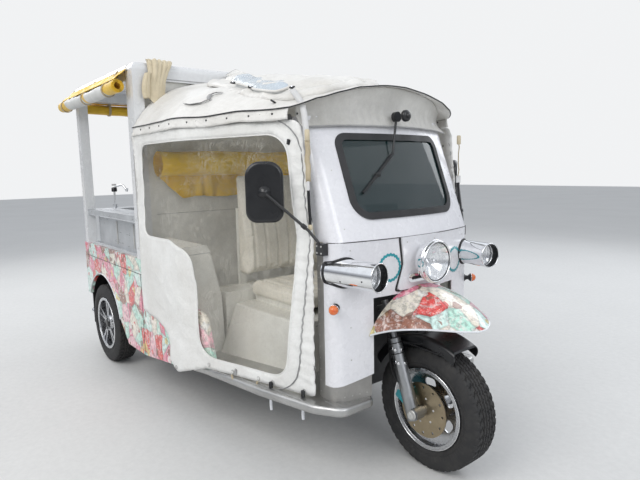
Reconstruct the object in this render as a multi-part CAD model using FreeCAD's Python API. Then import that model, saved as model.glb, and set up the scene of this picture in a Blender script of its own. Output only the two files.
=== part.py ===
import FreeCAD, Part
import math
import os

# Auto rickshaw with a vending box, in millimetres.
# X runs forward, Y to the vehicle's left, Z up from the ground.
# Every X below is counted from the rear axle; the finished shapes are then shifted by -X_MID,
# so that the origin is on the ground under the middle of the vehicle.

# Overall places
WHEELBASE = 2290.0
CAB_LENGTH = 1490.0          # from the box's front to the front axle
BODY_HALF = 680.0            # half width of the box and of the cab's straight part
BOX_REAR = -350.0
BOX_FRONT = WHEELBASE - CAB_LENGTH
BOX_TOP = 1880.0
SILL_Z = 800.0               # bottom of the serving openings
SEAT_GAP = 0.3               # a seated piece lies this far from its carrier
MOVE_GAP = 5.0               # the least room of a moving piece
PASS = 2.0                   # a cut runs this far past the wall that it opens
WIDE = BODY_HALF + 220.0     # clear of the widest piece

# Wheels
TYRE_R = 266.0
TYRE_W = 145.0
TREAD_ROUND = 26.0
TREAD_DROP = 6.0             # the tread is this much narrower than the tyre, each side
SIDEWALL_DEPTH = 55.0
SIDEWALL_ROUND = 40.0
BEAD_R = 163.0
RIM_FLANGE_R = 177.0
RIM_W = 126.0
RIM_T = 6.0
STUB_R = 20.0                # wheel spindles
BEARING_GAP = 0.4            # running gap of spindles and of the steering stem
HUB_R = 46.0
FRONT_FACE_Y = 18.0          # inset of the front rim's face from the wheel's middle
FRONT_HUB_Y = 22.0           # the hub stands this far out of the face
FRONT_HUB_BACK = 30.0
REAR_FACE_Y = 34.0
FRONT_HOLES = 6
REAR_SPOKES = 5
REAR_WHEEL_Y = BODY_HALF - 68.0

# Box
POST_X = 100.0
POST_Y = 60.0
RAIL_D = 95.0
RAIL_W = 95.0
ROOF_T = 20.0
ROOF_SINK = 15.0
CORNER_ROUND = 45.0          # rear posts
RAIL_ROUND = 44.0            # upper outer edge of the roof rail
PANEL_T = 20.0
BOX_FLOOR_Z = 606.0
BOX_FLOOR_T = 20.0
SILL_RAIL = 50.0
BULKHEAD_T = 20.0
BULKHEAD_X = BOX_FRONT - 40.0
PANEL_IN = BODY_HALF - PANEL_T - SEAT_GAP     # what stands just inside the side panels

# Counter
COUNTER_Z = 1040.0
COUNTER_FASCIA = 40.0
COUNTER_REAR_X = -240.0
COUNTER_OVERHANG = 20.0
COUNTER_WALL = 20.0
COUNTER_T = 4.0
SINK_LENGTH = 320.0
SINK_WIDTH = 320.0
SINK_DEPTH = 160.0
SINK_WALL = 4.0
SINK_X = -130.0
SINK_IN = 120.0              # from the counter's end to the sink
TAP_X = -180.0
TAP_R = 7.0

# Body sides
ARCH_R = 335.0
ARCH_Z = 270.0
ARCH_LEG = 100.0             # the arch's front leg ends this far above the arch's middle
REAR_EDGE_Z = 430.0
SEAM_Z = 712.0
SEAM_X = BOX_FRONT - 68.0
SEAM_GAP = 3.0
SKIRT_Z = 236.0
SKIRT_FRONT_Z = 292.0

# Cab plan: straight to TAPER_X, then narrowing to CURTAIN_FRONT_HALF at CURTAIN_FRONT_X
TAPER_X = BOX_FRONT + 490.0
CURTAIN_FRONT_HALF = 447.0
FLOOR_Z = 345.0
FLOOR_T = 40.0
BOARD_ROUND = 14.0

# Nose
NOSE_SETBACK = 90.0          # the nose's front lies this far behind the front axle
NOSE_FRONT_X = WHEELBASE - NOSE_SETBACK
NOSE_HALF = 432.0
NOSE_BOW = 64.0
NOSE_CORNER_R = 60.0
NOSE_T = 5.0
NOSE_LOW_Z = 410.0
NOSE_RISE = 32.0             # the lower edge climbs this much to the wheel opening
BELT_Z = 1000.0
COWL_DEPTH = 124.0
COWL_REAR_X = NOSE_FRONT_X - COWL_DEPTH
CURTAIN_FRONT_X = NOSE_FRONT_X - 145.0
WELL_HALF = 255.0
WELL_Z = 690.0
NOSE_OPENING_Z = 762.0
WELL_REAR_X = WHEELBASE - 365.0
WELL_FRONT_X = WHEELBASE - 130.0
WELL_T = 6.0
KICK_TOP_Z = 945.0
KICK_REAR_X = NOSE_FRONT_X - 170.0
KICK_T = 3.0
BADGE_OUT = 13.0             # thickness of the headlamp panel
PANEL_TOP_HALF = 116.0
PANEL_WAIST_HALF = 103.0
PANEL_LOW_HALF = 140.0
PANEL_WAIST_Z = 885.0
PANEL_LOW_Z = 778.0
SHELF_T = 40.0

# Chassis
SPRING_Y = REAR_WHEEL_Y - 212.0
RAIL_Y = SPRING_Y - 70.0
CHASSIS_W = 50.0
CHASSIS_H = 60.0
RISE_TOP_X = 340.0
RISE_LOW_X = 460.0
OUTRIGGER_W = 40.0
DOWN_TUBE_X = WHEELBASE - 410.0
DOWN_TUBE_Y = 100.0
DOWN_TUBE_R = 20.0
DOWN_TUBE_BEND = 60.0
AXLE_TUBE_R = 32.0
SPRING_W = 50.0
SPRING_T = 24.0
SPRING_HALF = 310.0
SPRING_EYE_Z = 400.0
SPRING_EYE_R = 16.0
HANGER_T = 8.0
HANGER_HALF = 20.0
DRUM_R = 110.0
DRUM_W = 60.0

# Windscreen
SCREEN_TOP_Z = 1500.0
RAKE = 0.375                 # back for each unit up
PILLAR_T = 28.0
PILLAR_LIP = 20.0
PILLAR_REAR_LOW_X = NOSE_FRONT_X - 165.0
PILLAR_REAR_TOP_X = NOSE_FRONT_X - 310.0
GLASS_TOP_Z = 1432.0
GLASS_LOW_Z = 1080.0
GLASS_HALF = 316.0
GLASS_T = 5.0
SCREEN_LOW_R = 85.0
SCREEN_TOP_R = 55.0
GASKET_W = 28.0
GASKET_LIP = 6.0
SCREEN_INSET = 8.0           # the frame's opening inside the gasket's outer edge
GASKET_WEB = 12.0

# Fork: the legs' line runs from its foot, raked back by RAKE_DEG
RAKE_DEG = 19.4
LEG_FOOT_X = WHEELBASE - 10.0
LEG_FOOT_Z = 235.0
LEG_Y = 120.0
LEG_R = 29.0
LEG_COVER_R = 27.0
STANCHION_R = 15.0
LEG_RINGS = (461.0, 473.0, 515.0, 527.0, 557.0)
LEG_COVER_Z = 563.0
LEG_TOP_Z = 718.0
STEM_BACK = 35.0
STEM_R = 22.0
HEAD_R = 38.0
HEAD_LOW_Z = 720.0
HEAD_TOP_Z = 900.0
CLAMP_Z = 680.0
CLAMP_T = 24.0
STEM_TOP_Z = 1030.0
GUARD_R = 325.0
GUARD_HALF = 80.0
GUARD_SKIRT = 45.0
GUARD_T = 4.0
GUARD_END_ROUND = 38.0
GUARD_ARC = (58.0, 150.0)
STAY_R = 3.5
DISC_R = 118.0
DISC_Y = -76.0
DISC_T = 5.0
DISC_HOLES = 12
CALIPER_BACK = 40.0          # from the pads' middle to the rear face
CALIPER_TILT = 28.0
HOSE_R = 4.0

# Canopy
CANOPY_T = 8.0
CANOPY_OUT = 14.0            # beyond the body's side
CANOPY_LOW_Z = 1482.0
CANOPY_EDGE_Z = 1526.0
CANOPY_CLEAR_Z = CANOPY_EDGE_Z + 454.0      # above the whole canopy
HEADER_LOW_Z = 1464.0
VISOR_Z = 1640.0
VISOR_OUT = 34.0             # the front arch leans out this far from the header's low edge
HOOP_R = 12.0
HOOP_BEND = 40.0
HOOP_IN = 40.0               # the frame's legs and rails stand this far inside the body's side
RAIL_R = 14.0
BUNDLE_T = 46.0
COVER_T = 12.0

# Door curtains
CURTAIN_T = 6.0
FILM_T = 2.0
CURTAIN_TOP_Z = CANOPY_LOW_Z - 2.0

# Seat
SEAT_HALF = 300.0
CUSHION_FRONT_X = WELL_REAR_X - 160.0
CUSHION_REAR_X = CUSHION_FRONT_X - 515.0
CUSHION_LOW_Z = 620.0
CUSHION_TOP_Z = 705.0
BASE_TOP_Z = 590.0
BACK_TOP_Z = 1290.0
PLINTH_Z = 650.0
LOCKER_Z = 915.0
LOCKER_IN = 230.0            # width of a side locker

# Front mudguard: a body of revolution about a lengthwise axis
GUARD_AXIS_Z = 487.5
MUDGUARD_T = 4.0

# Lamps
LAMP_Z = 895.0
LAMP_R = 88.0
LAMP_RIM = 8.0
LAMP_FRONT_X = NOSE_FRONT_X + 100.0
TUBE_R = 56.0
TUBE_Z = 880.0
TUBE_WALL = 3.0
SLOT_LOW_Z = 806.0
SLOT_TOP_Z = 842.0
SLOT_HALF = 88.0
SIGNAL_Z = 742.0
SIGNAL_R = 19.0
STALK_R = 8.0
TAIL_R = 45.0
TAIL_T = 24.0
TAIL_IN = 90.0
TAIL_Z = (690.0, 580.0)

# Mirrors and wiper
MIRROR_HALF = 75.0
MIRROR_TALL = 120.0
MIRROR_T = 30.0
MIRROR_TURN = 37.0
MIRROR_ROUND = 14.0
MIRROR_ARM_R = 6.0
MOTOR_R = 22.0
MOTOR_T = 20.0
WIPER_Y = 12.0
WIPER_ARM_R = 5.0
WIPER_BLADE_R = 6.0

# Roll-up awnings
ROLL_R = 37.0
ROLL_BORE = 24.0
ROLL_DROP = 134.0            # the roll's middle below the box's top
ROLL_OUT_SIDE = 66.0
ROLL_OUT_REAR = 48.0
AWNING_LOW = 68.0
AWNING_TOP = 32.0

# Rear
BUMPER_X = -445.0
BUMPER_R = 19.0
BUMPER_BEND = 60.0
BUMPER_LOW_Z = 270.0
BUMPER_TOP_Z = 410.0
BUMPER_POST_R = 13.0
IRON_T = 10.0
PLATE_HOLES = 250.0          # spacing of the two plate screws
PLATE_HOLE_R = 3.25
PLATE_Z = 520.0
FLAP_T = 6.0
FLAP_LOW_Z = 200.0
FLAP_TOP_Z = 560.0

V = FreeCAD.Vector
NODES = {}


def add(name, *shapes):
    solids = []
    for shape in shapes:
        solids.extend(shape.Solids)
    NODES[name] = solids


def block(x0, x1, y0, y1, z0, z1):
    return Part.makeBox(x1 - x0, y1 - y0, z1 - z0, V(x0, y0, z0))


def mirrored(shape):
    return shape.mirror(V(0, 0, 0), V(0, 1, 0))


def both(shape):
    return Part.makeCompound([shape, mirrored(shape)])


def fuse(shapes):
    result = shapes[0]
    if len(shapes) > 1:
        result = shapes[0].multiFuse(shapes[1:])
    return result.removeSplitter()


def spread(radius, count):
    if isinstance(radius, (int, float)):
        return [radius] * count
    return list(radius)


def round_path(points, radii, closed):
    """Straight runs through the points, each corner rounded by its radius."""
    count = len(points)
    starts, ends, mids = [], [], []
    for i, p in enumerate(points):
        r = radii[i]
        inner = closed or 0 < i < count - 1
        if not inner or r <= 0:
            starts.append(p)
            ends.append(p)
            mids.append(None)
            continue
        a = (points[i - 1] - p).normalize()
        b = (points[(i + 1) % count] - p).normalize()
        half = a.getAngle(b) / 2
        cut = r / math.tan(half)
        centre_way = (a + b).normalize()
        centre = p + centre_way * (r / math.sin(half))
        starts.append(p + a * cut)
        ends.append(p + b * cut)
        mids.append(centre - centre_way * r)
    edges = []
    for i in range(count):
        if mids[i] is not None:
            edges.append(Part.Arc(starts[i], mids[i], ends[i]).toShape())
        if i < count - 1 or closed:
            j = (i + 1) % count
            if ends[i].distanceToPoint(starts[j]) > 0.001:
                edges.append(Part.makeLine(ends[i], starts[j]))
    return Part.Wire(edges)


def outline_xz(points, y, radius=0.0):
    corners = [V(x, y, z) for x, z in points]
    return round_path(corners, spread(radius, len(corners)), True)


def outline_yz(points, x, radius=0.0):
    corners = [V(x, y, z) for y, z in points]
    return round_path(corners, spread(radius, len(corners)), True)


def outline_xy(points, z, radius=0.0):
    corners = [V(x, y, z) for x, y in points]
    return round_path(corners, spread(radius, len(corners)), True)


def slab(wire, way):
    return Part.Face(wire).extrude(way)


def prism_xz(points, y0, y1, radius=0.0):
    return slab(outline_xz(points, y0, radius), V(0, y1 - y0, 0))


def prism_yz(points, x0, x1, radius=0.0):
    return slab(outline_yz(points, x0, radius), V(x1 - x0, 0, 0))


def prism_xy(points, z0, z1, radius=0.0):
    return slab(outline_xy(points, z0, radius), V(0, 0, z1 - z0))


def rectangle(half, low, high):
    return ((-half, low), (half, low), (half, high), (-half, high))


def rod(start, end, radius, bore=0.0):
    way = end - start
    solid = Part.makeCylinder(radius, way.Length, start, way)
    if bore > 0:
        solid = solid.cut(Part.makeCylinder(bore, way.Length + 2 * PASS, start - V(way).normalize() * PASS, way))
    return solid


def tube(points, bend, radius):
    """A round bar along straight runs joined by arcs."""
    path = round_path(points, spread(bend, len(points)), False)
    way = points[1] - points[0]
    ring = Part.Wire(Part.makeCircle(radius, points[0], way))
    return path.makePipeShell([ring], True, False)


def turned(profile, radii, centre, axis=V(0, 1, 0)):
    """Turn a closed outline of (radius, place along the axis) pairs about a horizontal axis."""
    if abs(axis.y) > 0.5:
        corners = [centre + V(r, a, 0) for r, a in profile]
    else:
        corners = [centre + V(a, 0, r) for r, a in profile]
    wire = round_path(corners, radii, True)
    return Part.Face(wire).revolve(centre, axis, 360)


def loft(wires):
    return Part.makeLoft(wires, True, True)


def flip(p):
    return V(p.x, -p.y, p.z)


def offset_line(points, d):
    """Move an open plan line of (x, y) points sideways by d, to larger y at positive d."""
    moved = []
    for i, (x, y) in enumerate(points):
        ways = []
        if i > 0:
            ways.append((x - points[i - 1][0], y - points[i - 1][1]))
        if i < len(points) - 1:
            ways.append((points[i + 1][0] - x, points[i + 1][1] - y))
        normals = []
        for wx, wy in ways:
            length = math.hypot(wx, wy)
            normals.append((-wy / length, wx / length))
        nx = sum(n[0] for n in normals) / len(normals)
        ny = sum(n[1] for n in normals) / len(normals)
        scale = d / (nx * nx + ny * ny)
        moved.append((x + nx * scale, y + ny * scale))
    return moved


def cab_side(d, x0, x1):
    """Plan line of the cab's left side from x0 to x1, moved outward by d."""
    slope = (CURTAIN_FRONT_HALF - BODY_HALF) / (CURTAIN_FRONT_X - TAPER_X)
    base = [(x0, BODY_HALF)]
    if x1 > TAPER_X:
        base.append((TAPER_X, BODY_HALF))
        base.append((x1, BODY_HALF + slope * (x1 - TAPER_X)))
    else:
        base.append((x1, BODY_HALF))
    return offset_line(base, d)


def side_band(d0, d1, x0, x1, z0, z1):
    inner = cab_side(d0, x0, x1)
    outer = cab_side(d1, x0, x1)
    return prism_xy(inner + outer[::-1], z0, z1)


def nose_wire(z, front_x, rear_x, d):
    """Plan outline of the nose at height z: bowed front, round corners, moved outward by d."""
    half = NOSE_HALF + d
    corner = NOSE_CORNER_R + d
    big = (NOSE_HALF ** 2 + NOSE_BOW ** 2) / (2 * NOSE_BOW) + d
    centre_x = front_x + d - big
    corner_x = centre_x + math.sqrt((big - corner) ** 2 - (half - corner) ** 2)
    middle = V(centre_x, 0, z)
    left = V(corner_x, half - corner, z)
    touch = middle + (left - middle).normalize() * big
    side = V(corner_x, half, z)
    between = left + ((side - left) + (touch - left)).normalize() * corner
    rear = V(rear_x, half, z)
    edges = [
        Part.makeLine(rear, side),
        Part.Arc(side, between, touch).toShape(),
        Part.Arc(touch, V(front_x + d, 0, z), flip(touch)).toShape(),
        Part.Arc(flip(touch), flip(between), flip(side)).toShape(),
        Part.makeLine(flip(side), flip(rear)),
        Part.makeLine(flip(rear), rear),
    ]
    return Part.Wire(edges)


def nose_body(z0, z1, rear_x, d):
    return slab(nose_wire(z0, NOSE_FRONT_X, rear_x, d), V(0, 0, z1 - z0))


def screen_x(z):
    """X of the windscreen's plane at height z, on the vehicle's middle."""
    return NOSE_FRONT_X - RAKE * (z - BELT_Z)


def screen_body(d, back):
    """The raked volume behind the windscreen, moved outward by d and back by back."""
    low = nose_wire(BELT_Z + SEAT_GAP, NOSE_FRONT_X, PILLAR_REAR_LOW_X - back, d)
    top = nose_wire(SCREEN_TOP_Z, screen_x(SCREEN_TOP_Z), PILLAR_REAR_TOP_X - back, d)
    return loft([low, top])


def screen_prism(inset):
    """The windscreen's rounded outline, inset, drawn out along X."""
    points = rectangle(GLASS_HALF - inset, GLASS_LOW_Z + inset, GLASS_TOP_Z - inset)
    low_r = SCREEN_LOW_R - inset
    top_r = SCREEN_TOP_R - inset
    return prism_yz(points, PILLAR_REAR_TOP_X, NOSE_FRONT_X + NOSE_BOW, (low_r, low_r, top_r, top_r))


# Steering line: a point on the stem's axis at height z, and the same for the legs
RAKE_RAD = math.radians(RAKE_DEG)
STEER_WAY = V(-math.sin(RAKE_RAD), 0, math.cos(RAKE_RAD))


def leg_point(z, y=0.0):
    return V(LEG_FOOT_X - (z - LEG_FOOT_Z) * math.tan(RAKE_RAD), y, z)


def stem_point(z):
    return leg_point(z) - V(STEM_BACK / math.cos(RAKE_RAD), 0, 0)


def make_chassis():
    parts = []
    low_z = FLOOR_Z - FLOOR_T - SEAT_GAP - CHASSIS_H
    high_z = BOX_FLOOR_Z - SEAT_GAP - CHASSIS_H
    rear_x = BOX_REAR + PANEL_T + SEAT_GAP
    front_x = WELL_REAR_X - MOVE_GAP
    lean = CHASSIS_H / 2
    rail = ((rear_x, high_z), (RISE_TOP_X, high_z), (RISE_LOW_X, low_z), (front_x, low_z),
            (front_x, low_z + CHASSIS_H), (RISE_LOW_X + lean, low_z + CHASSIS_H),
            (RISE_TOP_X + lean, high_z + CHASSIS_H), (rear_x, high_z + CHASSIS_H))
    left = prism_xz(rail, RAIL_Y - CHASSIS_W / 2, RAIL_Y + CHASSIS_W / 2)
    parts.append(left)
    parts.append(mirrored(left))
    bay = (front_x - BOX_FRONT) / 3
    for x, z in ((rear_x, high_z), (RISE_TOP_X - 80, high_z), (RISE_LOW_X + 160, low_z),
                 (BOX_FRONT + bay, low_z), (BOX_FRONT + 2 * bay, low_z), (front_x - CHASSIS_W, low_z)):
        parts.append(block(x, x + CHASSIS_W, -RAIL_Y, RAIL_Y, z, z + CHASSIS_H))
    # Outriggers to the cab's sides
    for x in (BULKHEAD_X, BOX_FRONT + bay):
        parts.append(block(x, x + OUTRIGGER_W, -BODY_HALF + POST_Y, BODY_HALF - POST_Y,
                           low_z + CHASSIS_H / 3, low_z + CHASSIS_H))
    # Spring hangers below the rails
    ear_y = SPRING_W / 2 + SEAT_GAP
    for x in (-SPRING_HALF, SPRING_HALF):
        x0, x1 = x - HANGER_HALF, x + HANGER_HALF
        plate = block(x0, x1, RAIL_Y, SPRING_Y + ear_y + HANGER_T, high_z, high_z + 20)
        outer = block(x0, x1, SPRING_Y + ear_y, SPRING_Y + ear_y + HANGER_T, SPRING_EYE_Z - HANGER_HALF, high_z)
        inner = block(x0, x1, SPRING_Y - ear_y - HANGER_T, SPRING_Y - ear_y, SPRING_EYE_Z - HANGER_HALF, high_z)
        for piece in (plate, outer, inner):
            parts.append(piece)
            parts.append(mirrored(piece))
    # Head tube and its two down tubes
    parts.append(rod(stem_point(HEAD_LOW_Z), stem_point(HEAD_TOP_Z), HEAD_R))
    for side in (-1, 1):
        low = V(DOWN_TUBE_X, side * DOWN_TUBE_Y, low_z + DOWN_TUBE_R / 2)
        knee = V(DOWN_TUBE_X, side * DOWN_TUBE_Y, HEAD_LOW_Z - 30)
        top = stem_point(HEAD_TOP_Z - 60) + V(-10, side * 20.0, 0)
        parts.append(tube([low, knee, top], DOWN_TUBE_BEND, DOWN_TUBE_R))
    # Bumper irons, dropping from the rails' ends to the two bars
    iron_x = BUMPER_X + BUMPER_R + SEAT_GAP
    iron_z = REAR_EDGE_Z - MOVE_GAP
    iron_low = BUMPER_LOW_Z - 20
    outline = ((rear_x, high_z), (rear_x + 60, high_z), (rear_x + 60, iron_z - 60), (iron_x + 56, iron_low),
               (iron_x, iron_low), (iron_x, iron_z), (rear_x, iron_z))
    for side in (-1, 1):
        parts.append(prism_xz(outline, side * RAIL_Y - IRON_T / 2, side * RAIL_Y + IRON_T / 2))
    bore = rod(stem_point(HEAD_LOW_Z - 20), stem_point(HEAD_TOP_Z + 20), STEM_R + BEARING_GAP)
    add("chassis_frame", fuse(parts).cut(bore))


def make_floor():
    """The cab floor, with running boards that flare from the cab's taper to round tips."""
    tip_x = NOSE_FRONT_X - 10
    well = WELL_HALF + WELL_T + SEAT_GAP
    half = [(BOX_FRONT - 60, PANEL_IN), (TAPER_X + 40, PANEL_IN), (TAPER_X + 110, BODY_HALF - 40),
            (NOSE_FRONT_X - 400, NOSE_HALF + 143), (NOSE_FRONT_X - 120, NOSE_HALF + 76),
            (tip_x, NOSE_HALF + 8), (tip_x + 5, well), (WELL_REAR_X - SEAT_GAP, well)]
    radii = [0, 60, 60, 150, 120, 60, 30, 0]
    mirror = [(x, -y) for x, y in half[::-1]]
    floor = prism_xy(half + mirror, FLOOR_Z - FLOOR_T, FLOOR_Z, radii + radii[::-1])
    rim = []
    for edge in floor.Edges:
        box = edge.BoundBox
        if box.ZLength < 1 and box.XMin > TAPER_X + 20 and box.YMax * box.YMin > 0:
            if max(abs(box.YMin), abs(box.YMax)) > well + 20:
                rim.append(edge)
    floor = floor.makeFillet(BOARD_ROUND, rim)
    for side in (-1, 1):
        foot = V(DOWN_TUBE_X, side * DOWN_TUBE_Y, FLOOR_Z - FLOOR_T - PASS)
        floor = floor.cut(rod(foot, foot + V(0, 0, FLOOR_T + 2 * PASS), DOWN_TUBE_R + SEAT_GAP))
    add("floor_pan", floor)


def make_well():
    low = FLOOR_Z - FLOOR_T
    outer = block(WELL_REAR_X, WELL_FRONT_X, -WELL_HALF - WELL_T, WELL_HALF + WELL_T, low, WELL_Z)
    inner = block(WELL_REAR_X + WELL_T, WELL_FRONT_X + PASS, -WELL_HALF, WELL_HALF, low - PASS, WELL_Z + PASS)
    add("wheel_well", outer.cut(inner))


def lamp_axis(side):
    """Rear and front centre of a side lamp's tube, toed in towards the front."""
    rear = V(NOSE_FRONT_X - 130, side * (NOSE_HALF - 37), TUBE_Z)
    front = V(NOSE_FRONT_X + 115, side * (NOSE_HALF - 75), TUBE_Z)
    return rear, front


def lamp_hole(side):
    rear, front = lamp_axis(side)
    way = (front - rear).normalize()
    return rod(rear - way * 5, front + way * 100, TUBE_R + SEAT_GAP)


def make_nose():
    outer = nose_body(NOSE_LOW_Z, BELT_Z, COWL_REAR_X, 0)
    inner = nose_body(NOSE_LOW_Z - PASS, BELT_Z + PASS, COWL_REAR_X - 50, -NOSE_T)
    cowl = outer.cut(inner)
    # The lower edge slopes up to the wheel opening
    half = NOSE_HALF + 20
    front = NOSE_FRONT_X + NOSE_BOW
    slope = prism_yz(((-half, NOSE_LOW_Z - 5), (half, NOSE_LOW_Z - 5), (WELL_HALF, NOSE_LOW_Z + NOSE_RISE),
                      (-WELL_HALF, NOSE_LOW_Z + NOSE_RISE)), COWL_REAR_X, front)
    opening = block(COWL_REAR_X, front, -WELL_HALF, WELL_HALF, NOSE_LOW_Z - 5, NOSE_OPENING_Z)
    cowl = cowl.cut(slope).cut(opening)
    for side in (-1, 1):
        cowl = cowl.cut(lamp_hole(side))
    add("nose_cowl", cowl)


def make_kick_panels():
    out = -NOSE_T - SEAT_GAP
    outer = nose_body(FLOOR_Z + SEAT_GAP, KICK_TOP_Z, KICK_REAR_X, out)
    inner = nose_body(FLOOR_Z, KICK_TOP_Z + PASS, KICK_REAR_X - 50, out - KICK_T)
    shell = outer.cut(inner)
    half = WELL_HALF + WELL_T + SEAT_GAP
    shell = shell.cut(block(KICK_REAR_X - 50, NOSE_FRONT_X + NOSE_BOW, -half, half, FLOOR_Z - PASS,
                            KICK_TOP_Z + PASS))
    for side in (-1, 1):
        shell = shell.cut(lamp_hole(side))
    add("kick_panels", shell)


def make_surround():
    shell = screen_body(0, 0).cut(screen_body(-PILLAR_T, 60))
    add("windscreen_surround", shell.cut(screen_prism(SCREEN_INSET)))


def make_glass():
    inside = SCREEN_INSET + GASKET_WEB
    glass = screen_body(-1, 40).cut(screen_body(-1 - GLASS_T, 80)).common(screen_prism(inside))
    add("windscreen_glass", glass)
    lip = screen_body(SEAT_GAP + GASKET_LIP, 0).cut(screen_body(SEAT_GAP, 10))
    lip = lip.common(screen_prism(0)).cut(screen_prism(GASKET_W))
    web = screen_body(SEAT_GAP, 0).cut(screen_body(-PILLAR_LIP, 10))
    web = web.common(screen_prism(SCREEN_INSET + SEAT_GAP)).cut(screen_prism(inside - SEAT_GAP))
    add("windscreen_gasket", fuse([lip, web]))


def panel_prism(grow):
    """The headlamp panel's waisted outline, grown by grow, drawn out along X."""
    points = ((-PANEL_LOW_HALF - grow, PANEL_LOW_Z - grow), (PANEL_LOW_HALF + grow, PANEL_LOW_Z - grow),
              (PANEL_WAIST_HALF + grow, PANEL_WAIST_Z), (PANEL_TOP_HALF + grow, BELT_Z - 1),
              (-PANEL_TOP_HALF - grow, BELT_Z - 1), (-PANEL_WAIST_HALF - grow, PANEL_WAIST_Z))
    return prism_yz(points, NOSE_FRONT_X - 50, NOSE_FRONT_X + 100, (12, 12, 30, 0, 0, 30))


def make_headlamp_panel():
    back = nose_body(PANEL_LOW_Z - 50, BELT_Z, COWL_REAR_X, SEAT_GAP)
    front = nose_body(PANEL_LOW_Z - 50, BELT_Z, COWL_REAR_X, BADGE_OUT)
    add("headlamp_panel", front.cut(back).common(panel_prism(0)))


def make_lamps():
    seat_x = NOSE_FRONT_X + BADGE_OUT + SEAT_GAP
    depth = LAMP_FRONT_X - seat_x
    centre = V(seat_x, 0, LAMP_Z)
    inner = LAMP_R - LAMP_RIM
    bowl = turned(((0, 0), (LAMP_R - 46, 0), (LAMP_R - 16, 22), (LAMP_R - 4, 48), (LAMP_R, depth - 12),
                   (LAMP_R, depth), (LAMP_R - 6, depth), (inner, depth - 12), (0, 20)),
                  [0, 6, 30, 20, 0, 3, 0, 0, 0], centre, V(1, 0, 0))
    slot_r = (SLOT_TOP_Z - SLOT_LOW_Z) / 2
    slot_z = (SLOT_TOP_Z + SLOT_LOW_Z) / 2
    bezel = prism_yz(rectangle(SLOT_HALF, SLOT_LOW_Z, SLOT_TOP_Z), NOSE_FRONT_X, LAMP_FRONT_X, slot_r - 0.1)
    slot = prism_yz(rectangle(SLOT_HALF - 16, slot_z - 7, slot_z + 7), NOSE_FRONT_X - 50, LAMP_FRONT_X + 20, 6.9)
    band = nose_body(SLOT_LOW_Z - 15, SLOT_TOP_Z + 15, COWL_REAR_X, BADGE_OUT + 10)
    band = band.cut(nose_body(SLOT_LOW_Z - 16, SLOT_TOP_Z + 16, COWL_REAR_X, BADGE_OUT + SEAT_GAP))
    shells = [bowl, band.common(bezel).cut(slot)]
    lens_r = inner - SEAT_GAP
    lens = turned(((0, depth - 10), (lens_r, depth - 10), (lens_r, depth - 4), (0, depth + 5)),
                  [0, 0, 0, 0], centre, V(1, 0, 0))
    lenses = [lens]
    for side in (-1, 1):
        rear, front = lamp_axis(side)
        way = (front - rear).normalize()
        shell = rod(rear, front, TUBE_R)
        shells.append(shell.cut(rod(front - way * 60, front + way, TUBE_R - TUBE_WALL)))
        lenses.append(rod(front - way * 45, front - way * 35, TUBE_R - TUBE_WALL - SEAT_GAP))
    add("lamp_housings", *shells)
    add("lamp_lenses", *lenses)


def make_signals():
    foot = V(NOSE_FRONT_X - 82, NOSE_HALF - 28, SIGNAL_Z)
    way = V(0.62, 0.78, 0).normalize()
    stalk = rod(foot, foot + way * 48, STALK_R)
    ball = Part.makeSphere(SIGNAL_R, foot + way * 58)
    front = fuse([stalk, ball]).cut(nose_body(SIGNAL_Z - 42, SIGNAL_Z + 58, COWL_REAR_X - 50, SEAT_GAP))
    pieces = [front, mirrored(front)]
    for z in TAIL_Z:
        tail = turned(((0, 0), (TAIL_R, 0), (TAIL_R, 14 - TAIL_T), (TAIL_R - 12, -TAIL_T), (0, -TAIL_T)),
                      [0, 0, 0, 0, 0], V(BOX_REAR - SEAT_GAP, BODY_HALF - TAIL_IN, z), V(1, 0, 0))
        pieces.append(tail)
        pieces.append(mirrored(tail))
    add("signal_lamps", *pieces)


# Mudguard: (x from the front axle, radius about its axis), then its lower edge, (x, height)
MUDGUARD_CREST = ((-190.0, 296.0), (100.0, 254.0), (236.0, 160.0))
MUDGUARD_EDGE = ((-190.0, 560.0), (60.0, 657.0), (310.0, 625.0))


def mudguard_body(d):
    rear, crest, tip = [V(WHEELBASE + x, 0, GUARD_AXIS_Z + r + d) for x, r in MUDGUARD_CREST]
    tip = tip + V(d, 0, 0)
    axis_front = V(tip.x, 0, GUARD_AXIS_Z)
    axis_rear = V(rear.x, 0, GUARD_AXIS_Z)
    edges = [Part.Arc(rear, crest, tip).toShape(), Part.makeLine(tip, axis_front),
             Part.makeLine(axis_front, axis_rear), Part.makeLine(axis_rear, rear)]
    return Part.Face(Part.Wire(edges)).revolve(V(0, 0, GUARD_AXIS_Z), V(1, 0, 0), 360)


def make_mudguard():
    dome = mudguard_body(0).cut(mudguard_body(-MUDGUARD_T))
    side = -NOSE_HALF
    rear, crest, tip = [V(WHEELBASE + x, side, z) for x, z in MUDGUARD_EDGE]
    tip_low = V(tip.x, side, 0)
    rear_low = V(rear.x, side, 0)
    lower = [Part.Arc(rear, crest, tip).toShape(), Part.makeLine(tip, tip_low),
             Part.makeLine(tip_low, rear_low), Part.makeLine(rear_low, rear)]
    dome = dome.cut(Part.Face(Part.Wire(lower)).extrude(V(0, 2 * NOSE_HALF, 0)))
    dome = dome.cut(nose_body(NOSE_LOW_Z - 10, BELT_Z, COWL_REAR_X - 60, SEAT_GAP))
    panel = nose_body(PANEL_LOW_Z - 50, BELT_Z, COWL_REAR_X, BADGE_OUT + SEAT_GAP).common(panel_prism(MOVE_GAP))
    dome = dome.cut(panel)
    add("front_mudguard", dome.Solids[0])


def header_x(z):
    """X of the header's middle at height z; it leans forward to the arch."""
    lean = VISOR_OUT / (VISOR_Z - HEADER_LOW_Z)
    return screen_x(HEADER_LOW_Z) + CANOPY_T + SEAT_GAP + lean * (z - HEADER_LOW_Z)


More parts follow.
